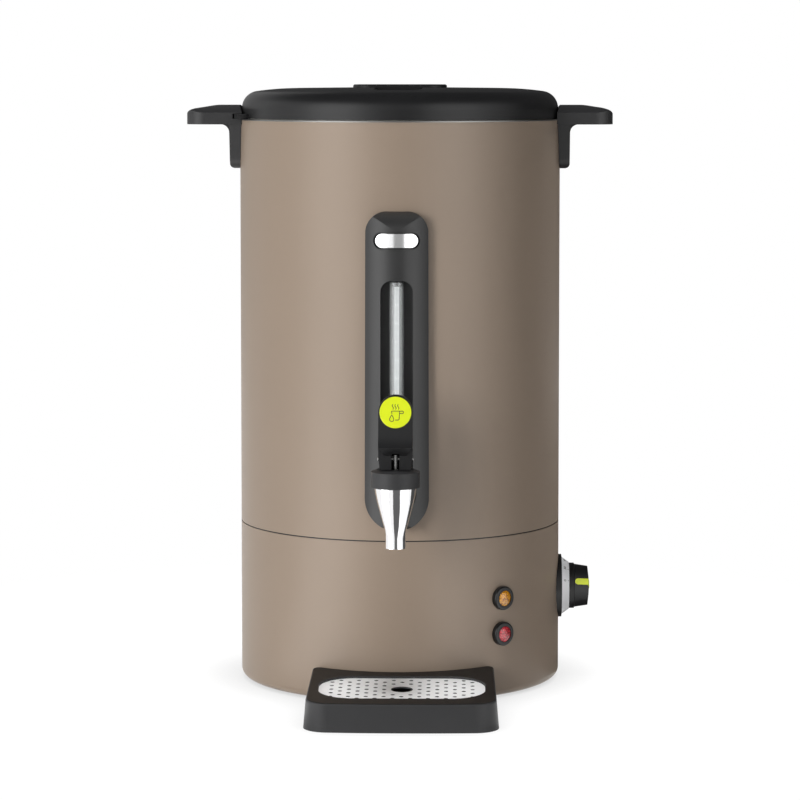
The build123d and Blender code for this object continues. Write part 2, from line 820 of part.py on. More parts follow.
plate_out = casing_in - seat
plate_in = plate_out - handle_plate_t
with BuildPart() as handle_plates:
    tube(plate_in, plate_out, *handle_plate_z)
    with BuildSketch(Plane.XY.offset(handle_plate_z[0])):
        Rectangle(2 * body_r, 2 * handle_plate_half)
    extrude(amount=handle_plate_z[1] - handle_plate_z[0], mode=Mode.INTERSECT)
    for line in handle_lines:
        round_bar(handle_screw_r + seat, 0, body_r, line, Mode.SUBTRACT)
handle_plates.part.label = "handle_plates"
export_step(handle_plates.part, "parts/handle_plates.step")

screw_head_r = 1.8 * handle_screw_r
screw_head_face = sqrt(plate_in**2 - screw_head_r**2) - seat
with BuildPart() as handle_screws:
    for line in handle_lines:
        round_bar(handle_screw_r, screw_head_face, leg_face - 3, line)
        round_bar(screw_head_r, screw_head_face - 2.2, screw_head_face, line)
handle_screws.part.label = "handle_screws"
export_step(handle_screws.part, "parts/handle_screws.step")

# ---- front panel ----

panel_axis_y = panel_curve - panel_face
panel_axis = upright(panel_axis_y)
badge_back_r = panel_curve - badge_sunk - badge_t
with BuildPart() as badge_recess:
    with BuildSketch(Plane.XZ.offset(-panel_axis_y)):
        with Locations((0, badge_z)):
            SlotOverall(badge_length + 2 * badge_border, badge_height + 2 * badge_border)
    extrude(amount=panel_curve)
    round_bar(badge_back_r, 0, rim_z, panel_axis, Mode.SUBTRACT)

with BuildPart() as front_panel:
    with BuildSketch(Plane.XZ.offset(panel_face)) as panel_outline:
        with BuildLine():
            Polyline(
                (-panel_half, panel_low), (-panel_top_half, panel_high),
                (panel_top_half, panel_high), (panel_half, panel_low), close=True,
            )
        make_face()
        fillet(panel_outline.vertices().group_by(Axis.Y)[-1], panel_top_round)
        fillet(panel_outline.vertices().group_by(Axis.Y)[0], panel_foot_round)
    extrude(amount=handle_root - panel_face)
    with BuildSketch(Plane.XY.offset(panel_low)):
        with Locations((0, panel_axis_y)):
            Circle(panel_curve)
    extrude(amount=panel_high - panel_low, mode=Mode.INTERSECT)
    with BuildSketch(Plane.YZ.offset(-panel_half)) as panel_side:
        with Locations((-panel_face / 2, (panel_low + panel_high) / 2)):
            Rectangle(panel_face, panel_high - panel_low)
        front_corners = panel_side.vertices().group_by(Axis.X)[0].sort_by(Axis.Y)
        fillet(front_corners[-1], panel_crown_r)
        fillet(panel_side.vertices().sort_by_distance((-panel_face, panel_low))[0], panel_chin_r)
    extrude(amount=2 * panel_half, mode=Mode.INTERSECT)
    round_bar(body_r + seat, 0, rim_z, mode=Mode.SUBTRACT)
    with BuildSketch(Plane.XZ.offset(slot_back)) as gauge_slot:
        with Locations((0, (window_low + slot_high) / 2)):
            Rectangle(2 * slot_half, slot_high - window_low)
        fillet(gauge_slot.vertices(), slot_round)
    extrude(amount=panel_face - slot_back + 1, mode=Mode.SUBTRACT)
    with BuildSketch(Plane.XZ) as tap_window:
        with Locations((0, (window_low + window_high) / 2)):
            Rectangle(2 * slot_half, window_high - window_low)
        fillet(tap_window.vertices(), slot_round)
    extrude(amount=panel_face, mode=Mode.SUBTRACT)
    add(badge_recess.part, mode=Mode.SUBTRACT)
    for line in panel_lines:
        round_bar(panel_screw_r + seat, 0, body_r + 6, line, Mode.SUBTRACT)
front_panel.part.label = "front_panel"
export_step(front_panel.part, "parts/front_panel.step")

with BuildPart() as panel_screws:
    for line in panel_lines:
        round_bar(panel_screw_r, casing_in - seat, body_r + 5.5, line)
        round_bar(panel_screw_r * 1.9, casing_in - 1.8, casing_in - seat, line)
panel_screws.part.label = "panel_screws"
export_step(panel_screws.part, "parts/panel_screws.step")

# The bare plate follows the panel's curve
with BuildPart() as badge_plate:
    with BuildSketch(Plane.XZ.offset(-panel_axis_y)):
        with Locations((0, badge_z)):
            SlotOverall(badge_length, badge_height)
    extrude(amount=panel_curve)
    tube(badge_back_r, badge_back_r + badge_t, 0, rim_z, panel_axis, Mode.INTERSECT)
badge_plate.part.label = "badge_plate"
export_step(badge_plate.part, "parts/badge_plate.step")

# ---- sight gauge ----

tube_line = upright(tube_y)
tube_in = tube_r - tube_wall
with BuildPart() as gauge_tube:
    tube(tube_in, tube_r, tube_low, tube_high, tube_line)
gauge_tube.part.label = "gauge_tube"
export_step(gauge_tube.part, "parts/gauge_tube.step")

# The white strip stands inside the tube on two faces of its bore
strip_back = sqrt(tube_in**2 - strip_half**2) - seat
with BuildPart() as gauge_scale:
    with BuildSketch(Plane.XZ.offset(-tube_y - strip_back)):
        with Locations((0, (strip_low + strip_high) / 2)):
            Rectangle(2 * strip_half, strip_high - strip_low)
    extrude(amount=strip_t)
gauge_scale.part.label = "gauge_scale"
export_step(gauge_scale.part, "parts/gauge_scale.step")

with BuildPart() as gauge_plug:
    round_bar(tube_r, tube_high, tube_high + plug_t, tube_line)
    round_bar(tube_in - seat, tube_high - plug_depth, tube_high, tube_line)
    round_bar(1, tube_high - plug_depth, tube_high + plug_t, tube_line, Mode.SUBTRACT)
gauge_plug.part.label = "gauge_plug"
export_step(gauge_plug.part, "parts/gauge_plug.step")

with BuildPart() as gauge_seal:
    tube(socket_port_r, tube_r, tube_low - gauge_seal_t, tube_low, tube_line)
gauge_seal.part.label = "gauge_seal"
export_step(gauge_seal.part, "parts/gauge_seal.step")

# ---- tap ----

# Cone with the nozzle, valve chamber, the shank through the wall and the gauge's socket, in one casting
with BuildPart() as tap_body:
    with BuildSketch(tap_line) as nozzle:
        with BuildLine():
            nozzle_neck = (nozzle_r, nozzle_low + nozzle_straight)
            Polyline((0, cone_top), (0, nozzle_low), (nozzle_r, nozzle_low), nozzle_neck)
            Spline(
                nozzle_neck, (nozzle_r + 2.3, seat_z - 6), (chamber_r + chamber_wall, seat_z),
                (cone_top_r - 2.2, cone_top - 12), (cone_top_r, cone_top), tangents=((0, 1), (0.15, 1)),
            )
            Line((cone_top_r, cone_top), (0, cone_top))
        make_face()
    revolve(axis=Axis(tap_line.origin, tap_line.y_dir))
    round_bar(shank_r, shank_end, -tap_y, front)
    round_bar(flange_r, washer_face, washer_face + flange_t, front)
    round_bar(socket_r, shank_z, socket_high, tube_line)
    round_bar(chamber_r, seat_z, cone_top, tap_line, Mode.SUBTRACT)
    round_bar(nozzle_bore, nozzle_low, cone_top, tap_line, Mode.SUBTRACT)
    round_bar(shank_bore, shank_end, -tap_y, front, Mode.SUBTRACT)
    round_bar(tube_r + seat, tube_low - gauge_seal_t, socket_high, tube_line, Mode.SUBTRACT)
    round_bar(socket_port_r, shank_z, socket_high, tube_line, Mode.SUBTRACT)
tap_body.part.label = "tap_body"
export_step(tap_body.part, "parts/tap_body.step")

# One washer bridges the panel's window, the other seals the vessel
with BuildPart() as outer_washer:
    tube(shank_r + seat, washer_r, body_r, washer_face, front)
    round_bar(panel_curve + seat, 0, rim_z, panel_axis, Mode.SUBTRACT)
outer_washer.part.label = "outer_washer"
export_step(outer_washer.part, "parts/outer_washer.step")

with BuildPart() as inner_washer:
    tube(shank_r + seat, washer_r, washer_back, vessel_out, front)
    tube(vessel_r - seat, body_r, 0, rim_z, mode=Mode.SUBTRACT)
inner_washer.part.label = "inner_washer"
export_step(inner_washer.part, "parts/inner_washer.step")

# A sleeve that keeps the two walls apart where the tap clamps them
with BuildPart() as wall_spacer:
    tube(shank_r + ease, washer_r - 2, vessel_r - 10, body_r, front)
    round_bar(vessel_out + seat, 0, rim_z, mode=Mode.SUBTRACT)
    tube(casing_in - seat, body_r + 1, 0, rim_z, mode=Mode.SUBTRACT)
wall_spacer.part.label = "wall_spacer"
export_step(wall_spacer.part, "parts/wall_spacer.step")

with BuildPart() as tap_nut:
    with BuildSketch(Plane(origin=(0, -washer_back, shank_z), x_dir=(1, 0, 0), z_dir=(0, 1, 0))):
        RegularPolygon(nut_across / 2, 6, major_radius=False)
        Circle(shank_r + seat, mode=Mode.SUBTRACT)
    extrude(amount=nut_t)
tap_nut.part.label = "tap_nut"
export_step(tap_nut.part, "parts/tap_nut.step")

stem_bore = stem_r + ease
with BuildPart() as tap_bonnet:
    turned(
        [
            (stem_bore, spigot_low), (chamber_r - seat, spigot_low), (chamber_r - seat, cone_top),
            (bonnet_r, cone_top), (bonnet_r, bonnet_top - 1.6), (bonnet_r - 4, bonnet_top),
            (stem_bore, bonnet_top),
        ],
        tap_line,
    )
tap_bonnet.part.label = "tap_bonnet"
export_step(tap_bonnet.part, "parts/tap_bonnet.step")

with BuildPart() as valve_stem:
    round_bar(stem_r, stem_bottom + seat, stem_top, tap_line)
    with BuildSketch(Plane.YZ):
        with Locations((tap_y, pin_z)):
            Circle(pin_r + seat)
    extrude(amount=stem_r + 1, both=True, mode=Mode.SUBTRACT)
valve_stem.part.label = "valve_stem"
export_step(valve_stem.part, "parts/valve_stem.step")

with BuildPart() as valve_seal:
    turned(
        [
            (0, seat_z + ease / 2), (seal_r - 2, seat_z + ease / 2), (seal_r, seat_z + 2),
            (seal_r, seal_top - 2), (seal_r - 1, seal_top), (stem_r + seat, seal_top),
            (stem_r + seat, stem_bottom), (0, stem_bottom),
        ],
        tap_line,
    )
valve_seal.part.label = "valve_seal"
export_step(valve_seal.part, "parts/valve_seal.step")

# The spring stands on the seal, around the stem, and presses against the bonnet
coil_low = seal_top + wire_r + seat
coil_length = spigot_low - wire_r - seat - coil_low
with BuildPart() as valve_spring:
    with BuildLine() as coil:
        Helix(coil_length / spring_turns, coil_length, spring_r, center=(0, tap_y, coil_low))
    with BuildSketch(Plane(coil.line @ 0, z_dir=coil.line % 0)):
        Circle(wire_r)
    sweep(path=coil.line, is_frenet=True)
valve_spring.part.label = "valve_spring"
export_step(valve_spring.part, "parts/valve_spring.step")

with BuildPart() as lever_pin:
    with BuildSketch(Plane.YZ.offset(-pin_half)):
        with Locations((tap_y, pin_z)):
            Circle(pin_r)
    extrude(amount=2 * pin_half)
    chamfer(lever_pin.edges(), 0.3)
lever_pin.part.label = "lever_pin"
export_step(lever_pin.part, "parts/lever_pin.step")

# ---- lever ----

# The foot stands on the bonnet and tips about its front edge, at the hinge. As it tips, its two
# cheeks lift the pin, which slides back along their slots while the stem goes straight up.
foot_z = bonnet_top + ease
lip = (tap_y - foot_front - lip_out, foot_z + lip_rise)
lean = tan(radians(disc_lean))
disc_y = tap_y - disc_set_back
lever_top = disc_z + lever_half + 0.3
knee = (disc_y - (disc_z - lip[1] - knee_rise) * lean, lip[1] + knee_rise)
pin_travel = (stem_top - foot_z) * sin(radians(lever_tilt))
disc_plane = Plane(
    origin=(0, disc_y, disc_z), x_dir=(1, 0, 0),
    z_dir=(0, -cos(radians(disc_lean)), sin(radians(disc_lean))),
)
with BuildPart() as lever:
    with BuildSketch(Plane.YZ.offset(-lever_half)):
        with BuildLine():
            Polyline((tap_y - foot_front, foot_z), (tap_y - foot_front, foot_z + 11.5), lip)
            ThreePointArc(lip, ((lip[0] + knee[0]) / 2 + 1.0, (lip[1] + knee[1]) / 2), knee)
            Polyline(
                knee, (disc_y + (lever_top - disc_z) * lean, lever_top),
                (disc_y + (lever_top - disc_z) * lean + 5.2, lever_top), (tap_y - 1.0, knee[1]),
                (tap_y - 1.0, foot_z + heel_top), (tap_y + foot_back, foot_z + heel_rise),
                (tap_y + foot_back, foot_z),
                (tap_y - foot_front, foot_z),
            )
        make_face()
    extrude(amount=2 * lever_half)
    with BuildSketch(Plane.XZ.offset(-tap_y - lever_half * 2)):
        with Locations((0, disc_z)):
            Circle(lever_half)
        with BuildLine():
            Polyline(
                (lever_half, disc_z), (lever_half, foot_z + 12), (lever_half - 1.2, foot_z),
                (1.2 - lever_half, foot_z), (-lever_half, foot_z + 12), (-lever_half, disc_z), close=True,
            )
        make_face()
    extrude(amount=lever_half * 4, mode=Mode.INTERSECT)
    # under the lip the sides draw in
    with BuildSketch(Plane.XZ.offset(foot_front - tap_y)) as lip_corners:
        with BuildLine():
            Polyline(
                (lever_half - 5, foot_z + 11), (lever_half + 1, foot_z + 11), (lever_half + 1, lip[1] - 0.6),
                (lever_half - 1, lip[1] - 0.6), close=True,
            )
        make_face()
        mirror(about=Plane.YZ)
    extrude(amount=8, mode=Mode.SUBTRACT)
    # slot for the stem
    with BuildSketch(Plane.XZ.offset(-tap_y - foot_back + 2.3)):
        with Locations((0, foot_z + 6.5)):
            Rectangle(lever_slot, 13)
    extrude(amount=foot_back + foot_front, mode=Mode.SUBTRACT)
    # slots for the pin
    with BuildSketch(Plane.YZ):
        with Locations((tap_y + pin_travel / 2, pin_z + 0.08)):
            SlotCenterToCenter(pin_travel, 2 * (pin_r + 0.4))
    extrude(amount=lever_half, both=True, mode=Mode.SUBTRACT)
    with BuildSketch(disc_plane):
        Circle(disc_r + seat)
    extrude(amount=-disc_depth, mode=Mode.SUBTRACT)
lever.part.label = "lever"
export_step(lever.part, "parts/lever.step")

with BuildPart() as lever_disc:
    with BuildSketch(disc_plane.offset(-disc_depth)):
        Circle(disc_r)
    extrude(amount=disc_t)
    fillet(lever_disc.faces().sort_by(Axis.Y)[0].edges(), 0.3)
lever_disc.part.label = "lever_disc"
export_step(lever_disc.part, "parts/lever_disc.step")

# ---- drip tray ----

deck_slope = (deck_back_z - deck_front_z) / (tray_front - body_r)
deck_angle = degrees(asin(deck_slope))
deck_at_tap = deck_back_z + deck_slope * (tap_y + body_r)
deck_plane = Plane(
    origin=(tray_x, tap_y, deck_at_tap), x_dir=(1, 0, 0),
    z_dir=Vector(0, 0, 1).rotate(Axis.X, deck_angle),
)
grate_under = deck_plane.offset(-grate_sunk - grate_t)


# The tray's plan at a height, drawn in by a distance
def tray_plan(inset, height=0):
    corner_y = tray_bow - tray_front + inset
    with BuildSketch(Plane((tray_x, 0, height))) as plan:
        with BuildLine():
            Polyline(
                (inset - tray_front_half, corner_y), (inset - tray_back_half, -tray_back),
                (tray_back_half - inset, -tray_back), (tray_front_half - inset, corner_y),
            )
            ThreePointArc(
                (inset - tray_front_half, corner_y), (0, inset - tray_front),
                (tray_front_half - inset, corner_y),
            )
        make_face()
        fillet(plan.vertices().group_by(Axis.Y)[0], tray_corner - inset)
    return plan.sketch


basin_length = grate_length - 2 * grate_ledge
basin_depth = grate_depth - 2 * grate_ledge
basin_round = grate_round - grate_ledge

# The space behind the skirt, around the basin
with BuildPart() as tray_hollow:
    extrude(tray_plan(tray_wall), amount=deck_front_z - grate_sunk - grate_t - deck_t)
    round_bar(body_r + tray_gap + tray_wall, -1, rim_z, mode=Mode.SUBTRACT)
    with BuildSketch(Plane((tray_x, tap_y, basin_lift))):
        RectangleRounded(basin_length + 2 * basin_wall, basin_depth + 2 * basin_wall, basin_round + basin_wall)
    extrude(amount=deck_back_z, mode=Mode.SUBTRACT)

block_high = deck_back_z + 6
with BuildPart() as drip_tray:
    loft([tray_plan(0), tray_plan(block_high * tan(radians(tray_draft)), block_high)])
    with BuildSketch(deck_plane):
        Rectangle(4 * tray_front_half, 4 * tray_front_half)
    extrude(amount=block_high, mode=Mode.SUBTRACT)
    round_bar(body_r + tray_gap, -1, rim_z, mode=Mode.SUBTRACT)
    horns = [(tray_x + side * tray_back_half, -sqrt(body_r**2 - tray_back_half**2), 0) for side in (-1, 1)]
    upright_edges = drip_tray.edges().filter_by(lambda edge: edge.bounding_box().size.Z > deck_front_z / 2)
    fillet([upright_edges.sort_by_distance(horn)[0] for horn in horns], horn_round)
    fillet(drip_tray.faces().sort_by(Axis.Z)[-1].edges(), deck_round)
    with BuildSketch(grate_under):
        RectangleRounded(grate_length + 2 * ease, grate_depth + 2 * ease, grate_round + ease)
    extrude(amount=20, mode=Mode.SUBTRACT)
    with BuildSketch(Plane((tray_x, tap_y, basin_floor))):
        RectangleRounded(basin_length, basin_depth, basin_round)
    extrude(amount=40, mode=Mode.SUBTRACT)
    add(tray_hollow.part, mode=Mode.SUBTRACT)
drip_tray.part.label = "drip_tray"
export_step(drip_tray.part, "parts/drip_tray.step")


# Staggered drain holes that stay inside the plate's rounded outline and clear of the finger hole
def drain_places():
    places = []
    for column in range(-9, 10):
        for row in range(-3, 4):
            x = column * drain_pitch
            y = (2 * row + column % 2) * drain_row
            corner_x = max(abs(x) - grate_length / 2 + grate_round, 0)
            corner_y = max(abs(y) - grate_depth / 2 + grate_round, 0)
            inside = sqrt(corner_x**2 + corner_y**2) < grate_round - drain_border
            if inside and sqrt(x**2 + y**2) > finger_hole_r + drain_r + 1:
                places.append((x, y))
    return places


with BuildPart() as drip_grate:
    with BuildSketch(grate_under):
        RectangleRounded(grate_length, grate_depth, grate_round)
        Circle(finger_hole_r, mode=Mode.SUBTRACT)
        with Locations(*drain_places()):
            Circle(drain_r, mode=Mode.SUBTRACT)
    extrude(amount=grate_t)
drip_grate.part.label = "drip_grate"
export_step(drip_grate.part, "parts/drip_grate.step")

# ---- lid ----


# Half section of the lid's dome, drawn in by a distance: a leaning skirt, a round shoulder, a slacker
# brow and a crown that is one shallow arc centred on the axis, each arc tangent to the next
def dome(inset):
    turns = [radians(shoulder_turn), radians(brow_turn)]
    centre = Vector(skirt_r - shoulder_r, skirt_top)
    arcs = [(centre, shoulder_r, 0, turns[0])]
    centre += (shoulder_r - brow_r) * Vector(cos(turns[0]), sin(turns[0]))
    arcs.append((centre, brow_r, *turns))
    crown_r = centre.X / cos(turns[1]) + brow_r
    centre += (brow_r - crown_r) * Vector(cos(turns[1]), sin(turns[1]))
    arcs.append((centre, crown_r, turns[1], radians(90)))
    with BuildSketch(Plane.XZ) as section:
        with BuildLine():
            for centre, radius, start, end in arcs:
                ThreePointArc(*[
                    centre + (radius - inset) * Vector(cos(turn), sin(turn))
                    for turn in (start, (start + end) / 2, end)
                ])
            top = centre.Y + radius - inset
            Polyline((0, top), (0, rim_z), (skirt_r - 0.5 - inset, rim_z), (skirt_r - inset, skirt_top))
        make_face()
    return section.sketch


# The space under the dome, around the walls of the hand well and the pads under the bar's ends
well_wall = lid_wall - 0.5
lid_rise = bar_top - rim_z
with BuildPart() as lid_hollow:
    revolve(dome(lid_wall), axis=Axis.Z)
    with BuildSketch(Plane.XY.offset(well_floor - well_wall)):
        RectangleRounded(2 * (well_half + well_wall), 2 * (well_reach + well_wall), well_corner + well_wall)
    extrude(amount=lid_rise, mode=Mode.SUBTRACT)
    with BuildSketch(Plane.XY.offset(bar_under - boss_drop)):
        SlotOverall(2 * (bar_half + well_wall), bar_depth + 2 * well_wall)
    extrude(amount=lid_rise, mode=Mode.SUBTRACT)

with BuildPart() as lid_shell:
    revolve(dome(0), axis=Axis.Z)
    add(lid_hollow.part, mode=Mode.SUBTRACT)
    round_bar(skirt_r + 1, rim_z - 1, rim_z + lid_gap, mode=Mode.SUBTRACT)
    with BuildSketch(Plane.XY.offset(well_floor)):
        RectangleRounded(2 * well_half, 2 * well_reach, well_corner)
    extrude(amount=lid_rise, mode=Mode.SUBTRACT)
    with BuildSketch(Plane.XY.offset(bar_under)):
        SlotOverall(2 * (bar_half + ease), bar_depth + 2 * ease)
    extrude(amount=lid_rise, mode=Mode.SUBTRACT)
    with BuildSketch(Plane.XY.offset(bar_under - boss_drop)):
        with Locations((-lid_screw_x, 0), (lid_screw_x, 0)):
            Circle(lid_screw_r + seat)
    extrude(amount=boss_drop, mode=Mode.SUBTRACT)
    # two lugs that turn into the handles' slots
    with BuildSketch(Plane.XY.offset(lug_low)) as lugs:
        for side in (0, 180):
            lug_arc = [180 + side + lug_start, 180 + side + lug_start + lug_width]
            with BuildLine(mode=Mode.PRIVATE) as lug_edge:
                Polyline(*[
                    (reach * cos(radians(angle)), reach * sin(radians(angle)))
                    for reach, angle in (
                        (skirt_r - 2, lug_arc[0]), (lug_out, lug_arc[0]),
                        (lug_out, lug_arc[1]), (skirt_r - 2, lug_arc[1]),
                    )
                ], close=True)
            make_face(lug_edge.edges())
    extrude(amount=lug_high - lug_low)
lid_shell.part.label = "lid_shell"
export_step(lid_shell.part, "parts/lid_shell.step")

with BuildPart() as lid_grip:
    with BuildSketch(Plane.XY.offset(bar_under)):
        SlotOverall(2 * bar_half, bar_depth)
    extrude(amount=bar_top - bar_under)
    fillet(lid_grip.faces().sort_by(Axis.Z)[-1].edges(), 1.6)
    with BuildSketch(Plane.XY.offset(bar_under)):
        with Locations((-lid_screw_x, 0), (lid_screw_x, 0)):
            Circle(lid_screw_r + seat)
    extrude(amount=5, mode=Mode.SUBTRACT)
lid_grip.part.label = "lid_grip"
export_step(lid_grip.part, "parts/lid_grip.step")

with BuildPart() as lid_screws:
    with BuildSketch(Plane.XY.offset(bar_under - boss_drop - seat)):
        with Locations((-lid_screw_x, 0), (lid_screw_x, 0)):
            Circle(lid_screw_r)
    extrude(amount=boss_drop + 4.5)
    with BuildSketch(Plane.XY.offset(bar_under - boss_drop - seat)):
        with Locations((-lid_screw_x, 0), (lid_screw_x, 0)):
            Circle(lid_screw_r * 1.9)
    extrude(amount=-1.8)
lid_screws.part.label = "lid_screws"
export_step(lid_screws.part, "parts/lid_screws.step")

# The steel liner closes the underside as a shallow pan that hangs in the vessel's mouth
liner_edge = skirt_r - lid_wall - 0.5 - seat
with BuildPart() as lid_liner:
    turned(
        [
            (0, liner_low), (liner_r, liner_low), (liner_r, liner_flange), (liner_edge, liner_flange),
            (liner_edge, liner_flange + liner_t), (liner_r - liner_t, liner_flange + liner_t),
            (liner_r - liner_t, liner_low + liner_t), (0, liner_low + liner_t),
        ],
        rounds=[((liner_r, liner_low), 3), ((liner_r - liner_t, liner_low + liner_t), 3 - liner_t)],
    )
lid_liner.part.label = "lid_liner"
export_step(lid_liner.part, "parts/lid_liner.step")

with BuildPart() as lid_seal:
    tube(liner_r + ease, liner_edge - ease, rim_z, liner_flange)
lid_seal.part.label = "lid_seal"
export_step(lid_seal.part, "parts/lid_seal.step")
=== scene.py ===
from math import cos, pi, radians, sin

import bpy
import numpy as np
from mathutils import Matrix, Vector


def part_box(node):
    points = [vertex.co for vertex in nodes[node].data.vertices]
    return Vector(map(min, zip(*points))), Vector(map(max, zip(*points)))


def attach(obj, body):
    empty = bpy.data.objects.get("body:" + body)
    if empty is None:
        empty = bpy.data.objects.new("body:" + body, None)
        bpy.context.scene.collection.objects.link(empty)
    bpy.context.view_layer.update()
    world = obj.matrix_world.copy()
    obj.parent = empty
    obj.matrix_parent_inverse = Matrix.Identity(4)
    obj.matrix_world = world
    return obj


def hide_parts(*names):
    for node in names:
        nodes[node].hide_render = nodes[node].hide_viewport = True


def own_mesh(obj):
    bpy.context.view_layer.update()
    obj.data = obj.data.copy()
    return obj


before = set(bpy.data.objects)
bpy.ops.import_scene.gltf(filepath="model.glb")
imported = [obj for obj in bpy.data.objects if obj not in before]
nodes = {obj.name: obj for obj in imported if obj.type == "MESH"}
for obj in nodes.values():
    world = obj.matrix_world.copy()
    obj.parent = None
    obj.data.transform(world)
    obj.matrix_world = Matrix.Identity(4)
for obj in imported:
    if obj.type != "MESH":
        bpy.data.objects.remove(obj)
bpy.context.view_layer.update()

# Hot water urn. Metres; +Z up, the tap faces -Y, the knob faces +X.

scene = bpy.context.scene
print("frame loaded,", len(nodes), "nodes")


# A colour as a screen shows it, 0 to 255, as the linear light that a shader takes
def paint(red, green, blue):
    shown = np.array([red, green, blue]) / 255
    return (*np.where(shown > 0.04045, ((shown + 0.055) / 1.055) ** 2.4, shown / 12.92).tolist(), 1)


# One output of a shader node; Python's operators on it add Math nodes
class Wire:
    def __init__(self, finish, socket):
        self.finish = finish
        self.socket = socket

    def __add__(self, other):
        return self.finish.maths("ADD", self, other)

    __radd__ = __add__

    def __sub__(self, other):
        return self.finish.maths("SUBTRACT", self, other)

    def __rsub__(self, other):
        return self.finish.maths("SUBTRACT", other, self)

    def __mul__(self, other):
        return self.finish.maths("MULTIPLY", self, other)

    __rmul__ = __mul__

    def __truediv__(self, other):
        return self.finish.maths("DIVIDE", self, other)

    def __lt__(self, other):
        return self.finish.maths("LESS_THAN", self, other)

    def __gt__(self, other):
        return self.finish.maths("GREATER_THAN", self, other)


# A finish and its node tree. node() sets a node's settings first, then its sockets.
class Finish:
    def __init__(self, name, owner=None):
        self.owner = owner or bpy.data.materials.new(name)
        self.owner.use_nodes = True
        self.tree = self.owner.node_tree
        self.tree.nodes.clear()

    def node(self, kind, settings=(), sockets=(), output=0):
        made = self.tree.nodes.new(kind)
        for name, value in dict(settings).items():
            if name == "stops":
                stops = made.color_ramp.elements
                while len(stops) < len(value):
                    stops.new(1)
                for stop, (position, colour) in zip(stops, value):
                    stop.position = position
                    stop.color = colour
            else:
                setattr(made, name, value)
        for name, value in dict(sockets).items():
            if isinstance(value, Wire):
                self.tree.links.new(value.socket, made.inputs[name])
            else:
                made.inputs[name].default_value = value
        return Wire(self, made.outputs[output]) if made.outputs else None

    # one Math node on values or links
    def maths(self, operation, *values):
        return self.node("ShaderNodeMath", {"operation": operation}, enumerate(values))

    # the point on the piece, stretched along its three axes
    def place(self, stretch=(1, 1, 1)):
        point = self.node("ShaderNodeTexCoord", output="Object")
        return self.node("ShaderNodeMapping", sockets={"Vector": point, "Scale": stretch})

    # the point's three lengths along the axes
    def axes(self):
        point = self.node("ShaderNodeTexCoord", output="Object")
        parts = self.node("ShaderNodeSeparateXYZ", sockets={"Vector": point})
        return [Wire(self, output) for output in parts.socket.node.outputs]

    # how far a face looks up: 1 on a level top, 0 on an upright wall
    def upward(self):
        facing = self.node("ShaderNodeTexCoord", output="Normal")
        return self.node("ShaderNodeSeparateXYZ", sockets={"Vector": facing}, output=2)

    # noise with so many waves per metre
    def noise(self, waves, detail=2.0, stretch=(1, 1, 1)):
        sockets = {"Vector": self.place(stretch), "Scale": waves, "Detail": detail}
        return self.node("ShaderNodeTexNoise", sockets=sockets)

    # a value between two others, as a third goes from 0 to 1
    def between(self, low, high, value):
        return value * (high - low) + low

    # a value that swings about 0, as a noise goes from 0 to 1
    def swing(self, noise, reach):
        return self.between(-reach, reach, noise)

    # the first colour where the mask is 0, and the second where it is 1
    def blend(self, mask, first, second):
        sockets = {0: mask, 6: first, 7: second}
        return self.node("ShaderNodeMix", {"data_type": "RGBA"}, sockets, 2)

    # a value as a colour, by its stops
    def ramp(self, value, stops):
        return self.node("ShaderNodeValToRGB", {"stops": stops}, {0: value})

    # a height of 1 stands so many metres above 0
    def bump(self, height, depth):
        return self.node("ShaderNodeBump", sockets={"Height": height, "Distance": depth, "Strength": 1.0})

    # the finish itself, from the sockets of its shader, with _ for each space in their names
    def surface(self, **sockets):
        named = {name.replace("_", " "): value for name, value in sockets.items()}
        shader = self.node("ShaderNodeBsdfPrincipled", sockets=named)
        self.node("ShaderNodeOutputMaterial", sockets={"Surface": shader})
        return self.owner


# A colour so many times as light
def shade(colour, amount):
    return (*[min(1, part * amount) for part in colour[:3]], 1)


powder = {
    "colour": paint(162, 144, 127), "roughness": 0.38, "swing": 0.05, "gloss": 0.30, "grain": 1500,
    "depth": 0.000012, "drift": 0.03, "driftWaves": 9, "speckWaves": 5200, "speckAbove": 0.69,
    "speckShare": 0.22, "speckTone": 0.5,
}


# Powder coat: a fine orange-peel grain, a slow drift of tone and tiny darker specks
def powderCoat():
    coat = Finish("powderCoat")
    colour, roughness, swing, drift = [powder[name] for name in ("colour", "roughness", "swing", "drift")]
    peel = coat.noise(powder["grain"], 3)
    slow = coat.noise(powder["driftWaves"], 2)
    specks = coat.noise(powder["speckWaves"], 1) > powder["speckAbove"]
    tone = coat.blend(slow, shade(colour, 1 - drift), shade(colour, 1 + drift))
    tone = coat.blend(specks * powder["speckShare"], tone, shade(colour, powder["speckTone"]))
    return coat.surface(
        Base_Color=tone, Roughness=coat.between(roughness - swing, roughness + swing, peel),
        Normal=coat.bump(peel, powder["depth"]), Specular_IOR_Level=powder["gloss"],
    )


